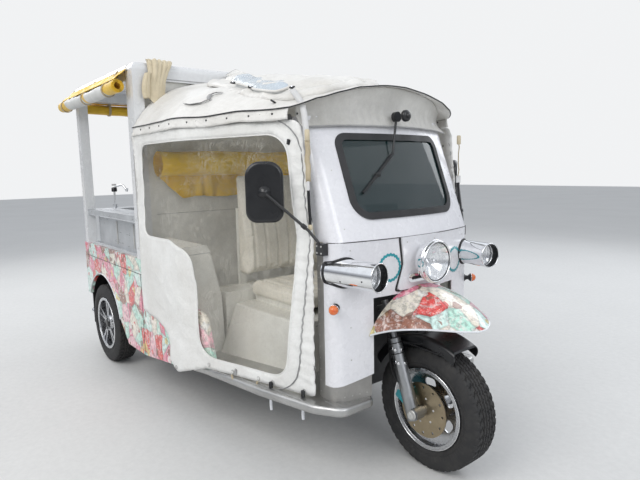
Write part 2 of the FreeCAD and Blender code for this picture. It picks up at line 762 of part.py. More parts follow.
def make_wiper():
    pivot_z = SCREEN_TOP_Z + 5
    knee_z = GLASS_TOP_Z - 87
    tip_z = GLASS_LOW_Z + 106
    seat_x = header_x(pivot_z) + SEAT_GAP + 4
    seat = V(seat_x, WIPER_Y, pivot_z)
    pivot = V(seat_x + MOTOR_T / 2, WIPER_Y, pivot_z)
    knee = V(screen_x(knee_z) + 13, -40, knee_z)
    tip = V(screen_x(tip_z) - 12, -GLASS_HALF + 65, tip_z)
    arm = tube([pivot, knee], 0, WIPER_ARM_R)
    blade = tube([knee, tip], 0, WIPER_BLADE_R)
    motor = rod(seat, seat + V(MOTOR_T, 0, 0), MOTOR_R)
    add("wiper", fuse([arm, blade, Part.makeSphere(WIPER_BLADE_R + 0.5, knee), motor]))


def make_mirrors():
    arms, heads = [], []
    turn = math.radians(MIRROR_TURN)
    for side in (-1, 1):
        foot = V(NOSE_FRONT_X - 115, side * (NOSE_HALF + SEAT_GAP), BELT_Z - 15)
        out = foot + V(0, side * 32, 20)
        up = V(NOSE_FRONT_X - 140, side * (NOSE_HALF + 58), BELT_Z + 50)
        head = V(NOSE_FRONT_X - 256, side * (NOSE_HALF + 181), BELT_Z + 200)
        deep = foot.y + side * 26
        bracket = block(foot.x - 22, foot.x + 22, min(foot.y, deep), max(foot.y, deep), foot.z - 35, foot.z + 12)
        arm = tube([out - V(0, side * 20, 40), out, up, head], 25, MIRROR_ARM_R)
        arms.append(fuse([bracket, arm]))
        shell = prism_yz(rectangle(MIRROR_HALF, -MIRROR_TALL, MIRROR_TALL), -MIRROR_T, 0, (45, 45, 60, 60))
        shell = shell.makeFillet(MIRROR_ROUND, [e for e in shell.Edges if e.BoundBox.XMin > -1])
        shell.rotate(V(0, 0, 0), V(0, 0, 1), side * MIRROR_TURN)
        facing = V(math.cos(turn), side * math.sin(turn), 0)
        shell.translate(head - facing * (MIRROR_ARM_R + SEAT_GAP))
        heads.append(shell)
    add("mirror_arms", *arms)
    add("mirror_heads", *heads)


def make_dashboard():
    shelf = nose_body(BELT_Z - SHELF_T, BELT_Z, COWL_REAR_X - 50, -NOSE_T - SEAT_GAP)
    half = NOSE_HALF - 52
    keep = block(COWL_REAR_X - 16, NOSE_FRONT_X + NOSE_BOW, -half, half, BELT_Z - SHELF_T - PASS, BELT_Z + PASS)
    add("dashboard", shelf.common(keep))


# Canopy sections, all in one straight loft; the shoulder is where the crown's arc meets the side's arc
CANOPY_COLUMNS = ("x", "half", "edge_z", "shoulder_y", "shoulder_z", "crown_z")
CANOPY_SECTIONS = (
    (BOX_FRONT + SEAT_GAP, BODY_HALF + CANOPY_OUT, CANOPY_EDGE_Z, BODY_HALF - 260, CANOPY_EDGE_Z + 226,
     CANOPY_EDGE_Z + 289),
    (TAPER_X, BODY_HALF + CANOPY_OUT, CANOPY_EDGE_Z + 1, BODY_HALF - 270, CANOPY_EDGE_Z + 168,
     CANOPY_EDGE_Z + 216),
    (NOSE_FRONT_X - 120, CURTAIN_FRONT_HALF + CANOPY_OUT, CANOPY_EDGE_Z + 2, CURTAIN_FRONT_HALF - 157,
     CANOPY_EDGE_Z + 62, CANOPY_EDGE_Z + 101),
)


def canopy_row(x):
    """The canopy's section at x, between the two nearest rows."""
    rows = CANOPY_SECTIONS
    first, second = (rows[0], rows[1]) if x < rows[1][0] else (rows[1], rows[2])
    t = (x - first[0]) / (second[0] - first[0])
    mixed = [a + (b - a) * t for a, b in zip(first, second)]
    return dict(zip(CANOPY_COLUMNS, mixed))


def canopy_arcs(row):
    """Centre and radius of the crown's arc and of the left side's arc, which meet smoothly."""
    rise = row["crown_z"] - row["shoulder_z"]
    crown_r = (row["shoulder_y"] ** 2 + rise ** 2) / (2 * rise)
    crown = V(row["x"], 0, row["crown_z"] - crown_r)
    shoulder = V(row["x"], row["shoulder_y"], row["shoulder_z"])
    way = (shoulder - crown).normalize()
    reach = shoulder - V(row["x"], row["half"], row["edge_z"])
    side_r = reach.Length ** 2 / (2 * reach.dot(way))
    return crown, crown_r, shoulder - way * side_r, side_r, way


def canopy_profile(row, d, low_z):
    """Closed section of the canopy, moved outward by d, down to low_z."""
    crown, crown_r, side, side_r, way = canopy_arcs(row)
    half = row["half"] + d
    shoulder = crown + way * (crown_r + d)
    edge = V(row["x"], half, side.z + math.sqrt((side_r + d) ** 2 - (half - side.y) ** 2))
    between = side + ((edge - side) + (shoulder - side)).normalize() * (side_r + d)
    low = V(row["x"], half, low_z)
    edges = [
        Part.makeLine(low, edge),
        Part.Arc(edge, between, shoulder).toShape(),
        Part.Arc(shoulder, crown + V(0, 0, crown_r + d), flip(shoulder)).toShape(),
        Part.Arc(flip(shoulder), flip(between), flip(edge)).toShape(),
        Part.makeLine(flip(edge), flip(low)),
        Part.makeLine(flip(low), low),
    ]
    return Part.Wire(edges)


def canopy_body(d, low_z):
    rows = [dict(zip(CANOPY_COLUMNS, row)) for row in CANOPY_SECTIONS]
    body = loft([canopy_profile(row, d, low_z) for row in rows])
    # The front is bowed like the windscreen's top and leans forward to the arch
    high_z = CANOPY_CLEAR_Z
    out = CANOPY_T + SEAT_GAP + d
    low_x = header_x(low_z) - CANOPY_T - SEAT_GAP
    high_x = header_x(high_z) - CANOPY_T - SEAT_GAP
    rear_x = BOX_FRONT - 200
    plan = loft([nose_wire(low_z, low_x, rear_x, out), nose_wire(high_z, high_x, rear_x, out)])
    wide = block(rear_x, NOSE_FRONT_X - 295, -WIDE, WIDE, low_z, high_z)
    return body.common(fuse([plan, wide]))


def make_canopy():
    outer = canopy_body(0, HEADER_LOW_Z)
    inner = canopy_body(-CANOPY_T, HEADER_LOW_Z - PASS)
    rear = inner.copy()
    rear.translate(V(-30, 0, 0))
    mouth = rear.common(block(BOX_FRONT - 100, TAPER_X - 290, -WIDE, WIDE, HEADER_LOW_Z - PASS,
                              CANOPY_CLEAR_Z))
    shell = outer.cut(inner).cut(mouth)
    side_end = NOSE_FRONT_X - 275
    shell = shell.cut(block(BOX_FRONT - 100, side_end, -WIDE, WIDE, HEADER_LOW_Z - 5, CANOPY_LOW_Z))
    add("canopy", shell)


def hoop(x, reach, low_z):
    """A round bow under the canopy: upright legs at y = reach, curved over to the crown."""
    crown, crown_r, side, side_r, way = canopy_arcs(canopy_row(x))
    under = CANOPY_T + SEAT_GAP + HOOP_R + 3.0
    crown_r = crown_r - under
    side_r = side_r - under
    bend = V(x, reach - HOOP_BEND, 0)
    bend.z = side.z + math.sqrt((side_r - HOOP_BEND) ** 2 - (bend.y - side.y) ** 2)
    foot = V(x, reach, low_z)
    upright = V(x, reach, bend.z)
    touch = side + (bend - side).normalize() * side_r
    turn = bend + ((upright - bend) + (touch - bend)).normalize() * HOOP_BEND
    shoulder = crown + way * crown_r
    between = side + ((touch - side) + (shoulder - side)).normalize() * side_r
    path = Part.Wire([
        Part.makeLine(foot, upright),
        Part.Arc(upright, turn, touch).toShape(),
        Part.Arc(touch, between, shoulder).toShape(),
        Part.Arc(shoulder, crown + V(0, 0, crown_r), flip(shoulder)).toShape(),
        Part.Arc(flip(shoulder), flip(between), flip(touch)).toShape(),
        Part.Arc(flip(touch), flip(turn), flip(upright)).toShape(),
        Part.makeLine(flip(upright), flip(foot)),
    ])
    ring = Part.Wire(Part.makeCircle(HOOP_R, foot, V(0, 0, 1)))
    return path.makePipeShell([ring], True, False)


def make_canopy_frame():
    rail_z = CANOPY_EDGE_Z - 30
    rail = cab_side(-HOOP_IN, BOX_FRONT + SEAT_GAP, CURTAIN_FRONT_X - 140)
    left = tube([V(x, y, rail_z) for x, y in rail], 80, RAIL_R)
    parts = [left, mirrored(left)]
    for x in (BOX_FRONT + HOOP_R + 10, TAPER_X - 30):
        parts.append(hoop(x, BODY_HALF - HOOP_IN, rail_z))
    add("canopy_frame", fuse(parts))


def make_curtains():
    rear_x = BOX_FRONT - 25
    front_x = CURTAIN_FRONT_X
    # The curtain's side view: (x, z, corner radius), from its upper rear corner down and forward
    edge = ((BOX_FRONT - 18, CURTAIN_TOP_Z, 0), (BOX_FRONT - 10, 520, 25), (TAPER_X - 316, 499, 150),
            (TAPER_X - 206, 464, 150), (TAPER_X - 140, 405, 60), (TAPER_X - 112, 300, 60), (TAPER_X - 69, 283, 30),
            (TAPER_X + 95, 335, 150), (TAPER_X + 150, 352, 60), (front_x - 12, 352, 20), (front_x - 3, 1009, 300),
            (front_x - 19, 1205, 300), (front_x - 57, CURTAIN_TOP_Z, 0))
    window = ((BOX_FRONT + 93, 1430, 60), (BOX_FRONT + 72, 951, 60), (TAPER_X - 100, 951, 150),
              (TAPER_X + 80, 905, 90), (TAPER_X + 110, 760, 60), (TAPER_X + 118, 410, 90), (front_x - 155, 400, 90),
              (front_x - 80, 1004, 300), (front_x - 120, 1430, 110))
    low_z = 280
    high_z = CURTAIN_TOP_Z + 1
    near = CURTAIN_FRONT_HALF - 147
    band = side_band(SEAT_GAP, SEAT_GAP + CURTAIN_T, rear_x, front_x, low_z, high_z)
    film_in = SEAT_GAP + (CURTAIN_T - FILM_T) / 2
    film_band = side_band(film_in, film_in + FILM_T, rear_x, front_x, low_z, high_z)
    shape = prism_xz([row[:2] for row in edge], near, WIDE, [row[2] for row in edge])
    hole = prism_xz([row[:2] for row in window], near, WIDE, [row[2] for row in window])
    add("door_curtains", both(band.common(shape).cut(hole)))
    add("door_windows", both(film_band.common(shape).common(hole)))


def make_roof_bundle():
    # Plan of the rolled-up curtain on the canopy, folded flat, with a thicker heap in its middle
    rest = canopy_body(SEAT_GAP + 0.7, CANOPY_LOW_Z)
    rear_x = BOX_FRONT + 60
    front_x = NOSE_FRONT_X - 170
    wide = prism_xy(((rear_x, -280), (TAPER_X - 100, -370), (TAPER_X + 190, -460), (TAPER_X + 400, -480),
                     (front_x - 110, -460), (front_x, -340), (front_x, 60), (TAPER_X + 300, 130),
                     (rear_x, 130)), CANOPY_EDGE_Z, CANOPY_CLEAR_Z, (40, 200, 200, 150, 80, 60, 60, 100, 40))
    high = prism_xy(((rear_x + 60, -180), (TAPER_X + 200, -330), (front_x - 180, -310), (front_x - 200, -60),
                     (rear_x + 60, 60)), CANOPY_EDGE_Z, CANOPY_CLEAR_Z, 60)
    x0 = BOX_FRONT + SEAT_GAP
    under = CANOPY_EDGE_Z + 250
    # Its rear end leans on the box's front
    lean = prism_xz(((x0, under), (x0, BOX_TOP + 10), (x0 + 30, BOX_TOP + 10), (x0 + 170, BOX_TOP - 55),
                     (x0 + 170, under)), -150, 100, (0, 10, 15, 10, 0))
    heap = fuse([canopy_body(BUNDLE_T, CANOPY_LOW_Z).common(wide),
                 canopy_body(BUNDLE_T + 30, CANOPY_LOW_Z).common(high), lean])
    # A cover piece over the box's edge, hanging down to the canopy
    tail = prism_yz(((-640, BOX_TOP - 170), (-560, BOX_TOP - 200), (-480, BOX_TOP - 170), (-450, BOX_TOP + COVER_T),
                     (-570, BOX_TOP + COVER_T), (-650, BOX_TOP - 90)), x0, x0 + 26, 12)
    over = block(BOX_FRONT - 70, x0 + 26, -560, -460, BOX_TOP + SEAT_GAP, BOX_TOP + COVER_T)
    add("roof_bundle", heap.cut(rest), fuse([tail.cut(rest), over]))


def make_drape():
    roll_r = 75.0
    roll_z = 1330.0
    half = BODY_HALF - 90
    x = BULKHEAD_X + BULKHEAD_T + SEAT_GAP
    middle = V(x + roll_r, 0, roll_z)
    roll = rod(middle - V(0, half, 0), middle + V(0, half, 0), roll_r - SEAT_GAP)
    hang = block(x + 1, x + 12, 30 - half, half - 30, roll_z - 200, roll_z)
    add("cab_drape", fuse([roll, hang]))


def make_seat():
    rear_x = CUSHION_REAR_X - 5
    front_x = CUSHION_FRONT_X + 50
    low = outline_xy(((rear_x, 480), (front_x, 335), (front_x, -335), (rear_x, -480)), FLOOR_Z + SEAT_GAP, 30)
    top = outline_xy(((rear_x, 372), (front_x - 15, 350), (front_x - 15, -350), (rear_x, -372)), BASE_TOP_Z, 30)
    base = loft([low, top])
    base = base.makeFillet(12, [e for e in base.Edges if e.BoundBox.ZMin > BASE_TOP_Z - 1])
    plinth_half = PANEL_IN - LOCKER_IN - 10
    plinth_x = CUSHION_REAR_X - 160
    parts = [base, block(plinth_x, rear_x + 1, -plinth_half, plinth_half, FLOOR_Z + SEAT_GAP, PLINTH_Z)]
    back_x = CUSHION_REAR_X - 130
    for y in (-SEAT_HALF + 65, SEAT_HALF - 65):
        # Seat runners, and uprights behind the back
        parts.append(block(CUSHION_REAR_X + 20, CUSHION_FRONT_X - 40, y - 15, y + 15, BASE_TOP_Z - 2,
                           CUSHION_LOW_Z - SEAT_GAP))
        parts.append(block(plinth_x + 5, back_x, y - 20, y + 20, PLINTH_Z - 10, BACK_TOP_Z - 210))
    add("seat_base", fuse(parts))
    cushion = block(CUSHION_REAR_X, CUSHION_FRONT_X, -SEAT_HALF, SEAT_HALF, CUSHION_LOW_Z, CUSHION_TOP_Z)
    add("seat_cushion", cushion.makeFillet(22, [e for e in cushion.Edges if e.BoundBox.ZMax > CUSHION_TOP_Z - 1]))
    back = prism_xz(((back_x + 35, CUSHION_TOP_Z), (CUSHION_REAR_X - 1, CUSHION_TOP_Z),
                     (CUSHION_REAR_X - 70, BACK_TOP_Z), (back_x + SEAT_GAP, BACK_TOP_Z),
                     (back_x + SEAT_GAP, CUSHION_TOP_Z - 5)), -SEAT_HALF, SEAT_HALF, (0, 25, 25, 25, 0))
    add("seat_back", back)


def make_lockers():
    inner = PANEL_IN - LOCKER_IN
    points = ((PANEL_IN, FLOOR_Z + SEAT_GAP), (PANEL_IN, LOCKER_Z), (inner + 75, LOCKER_Z),
              (inner + 10, LOCKER_Z - 275), (inner, FLOOR_Z + SEAT_GAP))
    left = prism_yz(points, BOX_FRONT + SEAT_GAP, CUSHION_REAR_X - 14, (0, 30, 30, 0, 0))
    add("side_lockers", both(left))


def make_box_frame():
    outer = block(BOX_REAR, BOX_FRONT, -BODY_HALF, BODY_HALF, SILL_Z, BOX_TOP)
    upright = [e for e in outer.Edges if e.BoundBox.ZLength > 10 and e.BoundBox.XMin < BOX_REAR + 1]
    outer = outer.makeFillet(CORNER_ROUND, upright)
    top = [e for e in outer.Edges if e.BoundBox.ZMin > BOX_TOP - 1]
    outer = outer.makeFillet(RAIL_ROUND, top)
    rail_z = BOX_TOP - RAIL_D
    outer = outer.cut(block(BOX_REAR + POST_X, BOX_FRONT - POST_X, -WIDE, WIDE, SILL_Z - PASS, rail_z))
    outer = outer.cut(block(BOX_REAR - PASS, BOX_FRONT + PASS, -BODY_HALF + POST_Y, BODY_HALF - POST_Y,
                            SILL_Z - PASS, rail_z))
    outer = outer.cut(block(BOX_REAR + RAIL_W, BOX_FRONT - RAIL_W, -BODY_HALF + RAIL_W, BODY_HALF - RAIL_W,
                            rail_z - PASS, BOX_TOP + PASS))
    lower = []
    rear_x = BOX_REAR + PANEL_T + SEAT_GAP
    feet = ((rear_x, BOX_REAR + POST_X, BOX_FLOOR_Z), (BOX_FRONT - POST_X, BOX_FRONT, FLOOR_Z + SEAT_GAP))
    for x0, x1, z0 in feet:
        post = block(x0, x1, BODY_HALF - POST_Y, PANEL_IN, z0, SILL_Z)
        lower.append(post)
        lower.append(mirrored(post))
    lower.append(block(rear_x, BULKHEAD_X - SEAT_GAP, -PANEL_IN, PANEL_IN, BOX_FLOOR_Z, BOX_FLOOR_Z + BOX_FLOOR_T))
    sill = block(rear_x, BOX_FRONT - 10, PANEL_IN - SILL_RAIL, PANEL_IN, SILL_Z - SILL_RAIL, SILL_Z)
    lower.append(sill)
    lower.append(mirrored(sill))
    lower.append(block(rear_x, rear_x + SILL_RAIL, -PANEL_IN, PANEL_IN, SILL_Z - SILL_RAIL, SILL_Z))
    add("box_frame", fuse([outer] + lower))
    z = BOX_TOP - ROOF_SINK
    inset = RAIL_W + SEAT_GAP
    half = BODY_HALF - inset
    add("box_roof", block(BOX_REAR + inset, BOX_FRONT - inset, -half, half, z - ROOF_T, z))


def make_bulkhead():
    half = BODY_HALF - POST_Y - SEAT_GAP
    front_x = BULKHEAD_X + BULKHEAD_T
    sheet = block(BULKHEAD_X, front_x, -half, half, FLOOR_Z + SEAT_GAP, BOX_TOP - RAIL_D - SEAT_GAP)
    cut = block(BULKHEAD_X - PASS, front_x + PASS, PANEL_IN - SILL_RAIL - SEAT_GAP, half + PASS,
                SILL_Z - SILL_RAIL - SEAT_GAP, SILL_Z + SEAT_GAP)
    add("bulkhead", sheet.cut(cut).cut(mirrored(cut)))


def make_side_panels():
    y0 = BODY_HALF - PANEL_T
    toe_x = -math.sqrt(ARCH_R ** 2 - (REAR_EDGE_Z - ARCH_Z) ** 2)
    leg_x = math.sqrt(ARCH_R ** 2 - ARCH_LEG ** 2)
    seam = SEAM_X - SEAM_GAP / 2
    front_x = SEAM_X + SEAM_GAP / 2
    top = SEAM_Z - SEAM_GAP / 2
    points = [V(BOX_REAR, y0, top), V(BOX_REAR, y0, REAR_EDGE_Z), V(toe_x, y0, REAR_EDGE_Z),
              V(0, y0, ARCH_Z + ARCH_R), V(leg_x, y0, ARCH_Z + ARCH_LEG),
              V(leg_x + (seam - leg_x) / 3, y0, SKIRT_Z - 2), V(seam, y0, SKIRT_Z), V(seam, y0, top)]
    edges = [Part.makeLine(points[0], points[1]), Part.makeLine(points[1], points[2]),
             Part.Arc(points[2], points[3], points[4]).toShape()]
    for i in range(4, 8):
        edges.append(Part.makeLine(points[i], points[(i + 1) % 8]))
    quarter = Part.Face(Part.Wire(edges)).extrude(V(0, PANEL_T, 0))
    band = block(BOX_REAR, BOX_FRONT, y0, BODY_HALF, SEAM_Z + SEAM_GAP / 2, SILL_Z - SEAT_GAP)
    # The front quarter ends in a scoop under the door: (x, z, corner radius)
    scoop = ((front_x, SKIRT_Z, 0), (TAPER_X - 160, SKIRT_FRONT_Z, 200), (TAPER_X - 35, SKIRT_FRONT_Z + 8, 20),
             (TAPER_X - 12, FLOOR_Z + SEAT_GAP, 0), (TAPER_X + 190, FLOOR_Z + SEAT_GAP, 20),
             (TAPER_X + 140, SEAM_Z - 112, 60), (TAPER_X + 10, SEAM_Z - 52, 200), (front_x, top, 0))
    shape = prism_xz([row[:2] for row in scoop], CURTAIN_FRONT_HALF - 147, WIDE, [row[2] for row in scoop])
    front = side_band(-PANEL_T, 0, front_x, TAPER_X + 270, SKIRT_Z - 36, SEAM_Z + 8).common(shape)
    add("side_panels", both(quarter), both(band), both(front))


def make_rear_panel():
    panel = block(BOX_REAR, BOX_REAR + PANEL_T, -PANEL_IN, PANEL_IN, REAR_EDGE_Z, SILL_Z - SEAT_GAP)
    for side in (-1, 1):
        hole = V(BOX_REAR - PASS, side * PLATE_HOLES / 2, PLATE_Z)
        panel = panel.cut(rod(hole, hole + V(PANEL_T + 2 * PASS, 0, 0), PLATE_HOLE_R))
    add("rear_panel", panel)


def make_counter():
    front_x = BULKHEAD_X - SEAT_GAP
    half = BODY_HALF - POST_Y - SEAT_GAP
    low = BOX_FLOOR_Z + BOX_FLOOR_T + SEAT_GAP
    lip_z = COUNTER_Z - COUNTER_FASCIA
    wall_half = half - 12
    body = block(COUNTER_REAR_X + COUNTER_OVERHANG, front_x, -wall_half, wall_half, low, lip_z + 1)
    side = block(BOX_REAR + POST_X + SEAT_GAP, BOX_FRONT - POST_X - SEAT_GAP, half, BODY_HALF - 10,
                 lip_z, COUNTER_Z)
    top = block(COUNTER_REAR_X, front_x, -half, half, lip_z, COUNTER_Z)
    hollow = block(COUNTER_REAR_X + COUNTER_OVERHANG + COUNTER_WALL, front_x - COUNTER_WALL,
                   -wall_half + COUNTER_WALL, wall_half - COUNTER_WALL, low + COUNTER_WALL, COUNTER_Z - COUNTER_T)
    counter = fuse([body, top, side, mirrored(side)]).cut(hollow)
    y0 = -half + SINK_IN
    y1 = y0 + SINK_WIDTH
    x1 = SINK_X + SINK_LENGTH
    outer = block(SINK_X, x1, y0, y1, COUNTER_Z - SINK_DEPTH, COUNTER_Z - 2)
    inner = block(SINK_X + SINK_WALL, x1 - SINK_WALL, y0 + SINK_WALL, y1 - SINK_WALL,
                  COUNTER_Z - SINK_DEPTH + SINK_WALL, COUNTER_Z + PASS)
    add("counter", fuse([counter, outer]).cut(inner))
    foot = V(TAP_X, y0, COUNTER_Z + SEAT_GAP)
    spout = tube([foot, foot + V(0, 0, 150), foot + V(70, 40, 165), foot + V(95, 55, 120)], 30, TAP_R)
    base = Part.makeCylinder(TAP_R + 11, 25, foot)
    knob = Part.makeCylinder(TAP_R + 9, 12, foot + V(0, 0, 158))
    add("tap", fuse([spout, base, knob]))


def awning(wall, out, start, end):
    """One rolled awning along X on the left side: its roll at wall + out, its sheet up to the rail."""
    roll_z = BOX_TOP - ROLL_DROP
    y = wall + out
    roll = rod(V(start - 36, y, roll_z), V(end + 36, y, roll_z), ROLL_R, ROLL_BORE)
    sheet = prism_yz(((wall + SEAT_GAP, BOX_TOP - AWNING_LOW), (wall + SEAT_GAP, BOX_TOP - AWNING_TOP),
                      (wall + 7, BOX_TOP - AWNING_TOP), (y + ROLL_R - 4, roll_z + 12), (y + 5, roll_z + 26)),
                     start, end)
    sheet = sheet.cut(rod(V(start - 50, y, roll_z), V(end + 50, y, roll_z), ROLL_R - 7))
    return fuse([roll, sheet])


def make_awnings():
    side = awning(BODY_HALF, ROLL_OUT_SIDE, BOX_REAR + 12, BOX_FRONT - 62)
    half = BODY_HALF - 116
    rear = awning(-BOX_REAR, ROLL_OUT_REAR, -half, half)
    rear.rotate(V(0, 0, 0), V(0, 0, 1), 90)
    add("awnings", side, mirrored(side), rear)


def make_bumper():
    side_y = BODY_HALF - 40
    end_x = BOX_REAR + PANEL_T
    parts = []
    for z in (BUMPER_LOW_Z, BUMPER_TOP_Z):
        points = [V(end_x, -side_y, z), V(BUMPER_X, -side_y, z), V(BUMPER_X, side_y, z), V(end_x, side_y, z)]
        parts.append(tube(points, BUMPER_BEND, BUMPER_R))
    for side in (-1, 1):
        low = V(BUMPER_X, side * (BODY_HALF - 260), BUMPER_LOW_Z)
        parts.append(rod(low, low + V(0, 0, BUMPER_TOP_Z - BUMPER_LOW_Z), BUMPER_POST_R))
    add("rear_bumper", fuse(parts))


def make_flaps():
    x = BOX_REAR + PANEL_T + SEAT_GAP
    inner = REAR_WHEEL_Y - TYRE_W / 2 + 5
    add("mud_flaps", both(block(x, x + FLAP_T, inner, PANEL_IN, FLAP_LOW_Z, FLAP_TOP_Z)))


def make_axle():
    z = TYRE_R
    spindle = V(0, REAR_WHEEL_Y + 38, z)
    casing = V(0, REAR_WHEEL_Y - 132, z)
    drum_out = V(0, REAR_WHEEL_Y - 82, z)
    parts = [rod(flip(casing), casing, AXLE_TUBE_R), rod(flip(spindle), spindle, STUB_R)]
    for end in (drum_out, flip(drum_out)):
        inward = V(0, -math.copysign(DRUM_W, end.y), 0)
        parts.append(rod(end, end + inward, DRUM_R))
    parts.append(turned(((0, -120), (60, -110), (90, -50), (90, 50), (60, 110), (0, 120)), [0, 20, 30, 30, 20, 0],
                        V(0, 0, z)))
    # Leaf packs: an arc from eye to eye over the axle
    up = V(0, 0, SPRING_T)
    for side in (-1, 1):
        y = side * SPRING_Y - SPRING_W / 2
        rear = V(-SPRING_HALF, y, SPRING_EYE_Z)
        front = V(SPRING_HALF, y, SPRING_EYE_Z)
        mid = V(0, y, z + AXLE_TUBE_R)
        edges = [Part.Arc(rear, mid - V(0, 0, 2), front).toShape(), Part.makeLine(front, front + up / 2),
                 Part.Arc(front + up / 2, mid + up, rear + up / 2).toShape(), Part.makeLine(rear + up / 2, rear)]
        parts.append(Part.Face(Part.Wire(edges)).extrude(V(0, SPRING_W, 0)))
        for eye in (rear, front):
            parts.append(rod(eye, eye + V(0, SPRING_W, 0), SPRING_EYE_R))
    add("rear_axle", fuse(parts))
    add("drive_unit", block(90 + SEAT_GAP, RISE_TOP_X, -110, 110, z - 96, z + 124))


def wheel_tyre():
    half = TYRE_W / 2
    bead = RIM_W / 2 - RIM_T - SEAT_GAP
    seat = BEAD_R + SEAT_GAP
    flange = RIM_FLANGE_R + 2
    wall = TYRE_R - SIDEWALL_DEPTH
    profile = ((seat, -bead), (flange, -bead), (flange + 4, -bead - 6), (wall, -half),
               (TYRE_R, -half + TREAD_DROP), (TYRE_R, half - TREAD_DROP), (wall, half), (flange + 4, bead + 6),
               (flange, bead), (seat, bead))
    radii = [0, 0, 0, SIDEWALL_ROUND, TREAD_ROUND, TREAD_ROUND, SIDEWALL_ROUND, 0, 0, 0]
    return turned(profile, radii, V(0, 0, 0))


def rim_barrel():
    half = RIM_W / 2
    inner = BEAD_R - RIM_T
    outer = ((inner, -half), (RIM_FLANGE_R, -half), (RIM_FLANGE_R, -half + RIM_T), (BEAD_R, -half + RIM_T),
             (BEAD_R, half - RIM_T), (RIM_FLANGE_R, half - RIM_T), (RIM_FLANGE_R, half), (inner, half))
    return turned(outer, [3, 2, 0, 0, 0, 0, 2, 3], V(0, 0, 0))


def front_rim():
    """The dished disc with oval holes, its outer side to -Y."""
    face = FRONT_FACE_Y
    hub = face + FRONT_HUB_Y
    bore = STUB_R + BEARING_GAP
    joint = BEAD_R - RIM_T + 1
    disc = turned(((bore, -hub), (HUB_R, -hub), (HUB_R + 8, -face), (joint, -face - 18), (joint, -face - 12),
                   (HUB_R + 8, -face + 6), (HUB_R, FRONT_HUB_BACK), (bore, FRONT_HUB_BACK)),
                  [0, 3, 6, 0, 0, 6, 0, 0], V(0, 0, 0))
    oval = ((-30, 92), (30, 92), (24, 130), (-24, 130))
    for i in range(FRONT_HOLES):
        hole = prism_xz(oval, -RIM_W, RIM_W, 14)
        hole.rotate(V(0, 0, 0), V(0, 1, 0), 360.0 * i / FRONT_HOLES)
        disc = disc.cut(hole)
    return fuse([rim_barrel(), disc])


def rear_rim():
    """Five paired spokes, their outer side to -Y."""
    face = REAR_FACE_Y
    bore = STUB_R + BEARING_GAP
    parts = [rim_barrel()]
    parts.append(turned(((bore, -face - 16), (HUB_R + 8, -face - 16), (HUB_R + 14, -face), (HUB_R + 14, -face + 14),
                         (bore, -face + 14)), [0, 4, 0, 0, 0], V(0, 0, 0)))
    tip_r = BEAD_R - RIM_T + 1
    for i in range(REAR_SPOKES):
        for lean in (-1, 1):
            inner = lean * 6
            outer = lean * 22
            spoke = prism_xz(((inner - 8, HUB_R), (inner + 8, HUB_R), (outer + 9, tip_r), (outer - 9, tip_r)),
                             -face - 14, -face + 8)
            spoke.rotate(V(0, 0, 0), V(0, 1, 0), 360.0 * i / REAR_SPOKES)
            parts.append(spoke)
    return fuse(parts)


def placed(shape, x, y, turned_over=False):
    copy = shape.copy()
    if turned_over:
        copy = mirrored(copy)
    copy.translate(V(x, y, TYRE_R))
    return copy


def make_wheels():
    tyre = wheel_tyre()
    add("front_tyre", placed(tyre, WHEELBASE, 0))
    add("front_rim", placed(front_rim(), WHEELBASE, 0))
    for name, side in (("right", -1), ("left", 1)):
        add("rear_tyre_" + name, placed(tyre, 0, side * REAR_WHEEL_Y))
        add("rear_rim_" + name, placed(rear_rim(), 0, side * REAR_WHEEL_Y, side > 0))
    across = V(0, 1, 0)
    inner_y = DISC_Y + DISC_T
    disc = Part.makeCylinder(DISC_R, DISC_T, V(0, DISC_Y, 0), across)
    hat = Part.makeCylinder(DISC_R / 2, -inner_y - FRONT_FACE_Y - FRONT_HUB_Y - SEAT_GAP, V(0, inner_y, 0), across)
    bore = Part.makeCylinder(STUB_R + BEARING_GAP, RIM_W, V(0, DISC_Y - PASS, 0), across)
    disc = fuse([disc, hat]).cut(bore)
    for i in range(DISC_HOLES):
        hole = Part.makeCylinder(6, 40, V(DISC_R - 18, DISC_Y - 10, 0), across)
        hole.rotate(V(0, 0, 0), across, 360.0 * i / DISC_HOLES)
        disc = disc.cut(hole)
    add("front_brake_disc", placed(disc, WHEELBASE, 0))


def make_fork():
    parts = []
    axle = V(WHEELBASE, 0, TYRE_R)
    for side in (-1, 1):
        y = side * LEG_Y
        parts.append(rod(leg_point(LEG_FOOT_Z, y), leg_point(LEG_RINGS[0], y), LEG_R))
        parts.append(rod(leg_point(LEG_RINGS[0] - 1, y), leg_point(LEG_COVER_Z, y), LEG_COVER_R))
        parts.append(rod(leg_point(LEG_COVER_Z - 10, y), leg_point(LEG_TOP_Z, y), STANCHION_R))
        for z in LEG_RINGS:
            ring = leg_point(z, y)
            parts.append(rod(ring, ring + STEER_WAY * 5, LEG_R))
        lug = V(axle.x, y, axle.z)
        parts.append(rod(lug - V(0, 24, 0), lug + V(0, 24, 0), LEG_R - 2))
    reach = LEG_Y + 30
    parts.append(rod(axle - V(0, reach, 0), axle + V(0, reach, 0), STUB_R))
    plate = prism_xy(((-62, -45), (-30, -reach), (34, -reach), (34, reach), (-30, reach), (-62, 45)),
                     0, CLAMP_T, 12)
    plate.rotate(V(0, 0, 0), V(0, 1, 0), -RAKE_DEG)
    plate.translate(leg_point(CLAMP_Z))
    parts.append(plate)
    parts.append(rod(stem_point(CLAMP_Z), stem_point(STEM_TOP_Z), STEM_R))
    add("fork", fuse(parts))


def guard_point(angle, radius, along=0.0):
    """A point about the front axle at angle, in side view, moved along the tangent."""
    across = math.cos(math.radians(angle))
    up = math.sin(math.radians(angle))
    return (WHEELBASE + radius * across - along * up, TYRE_R + radius * up + along * across)


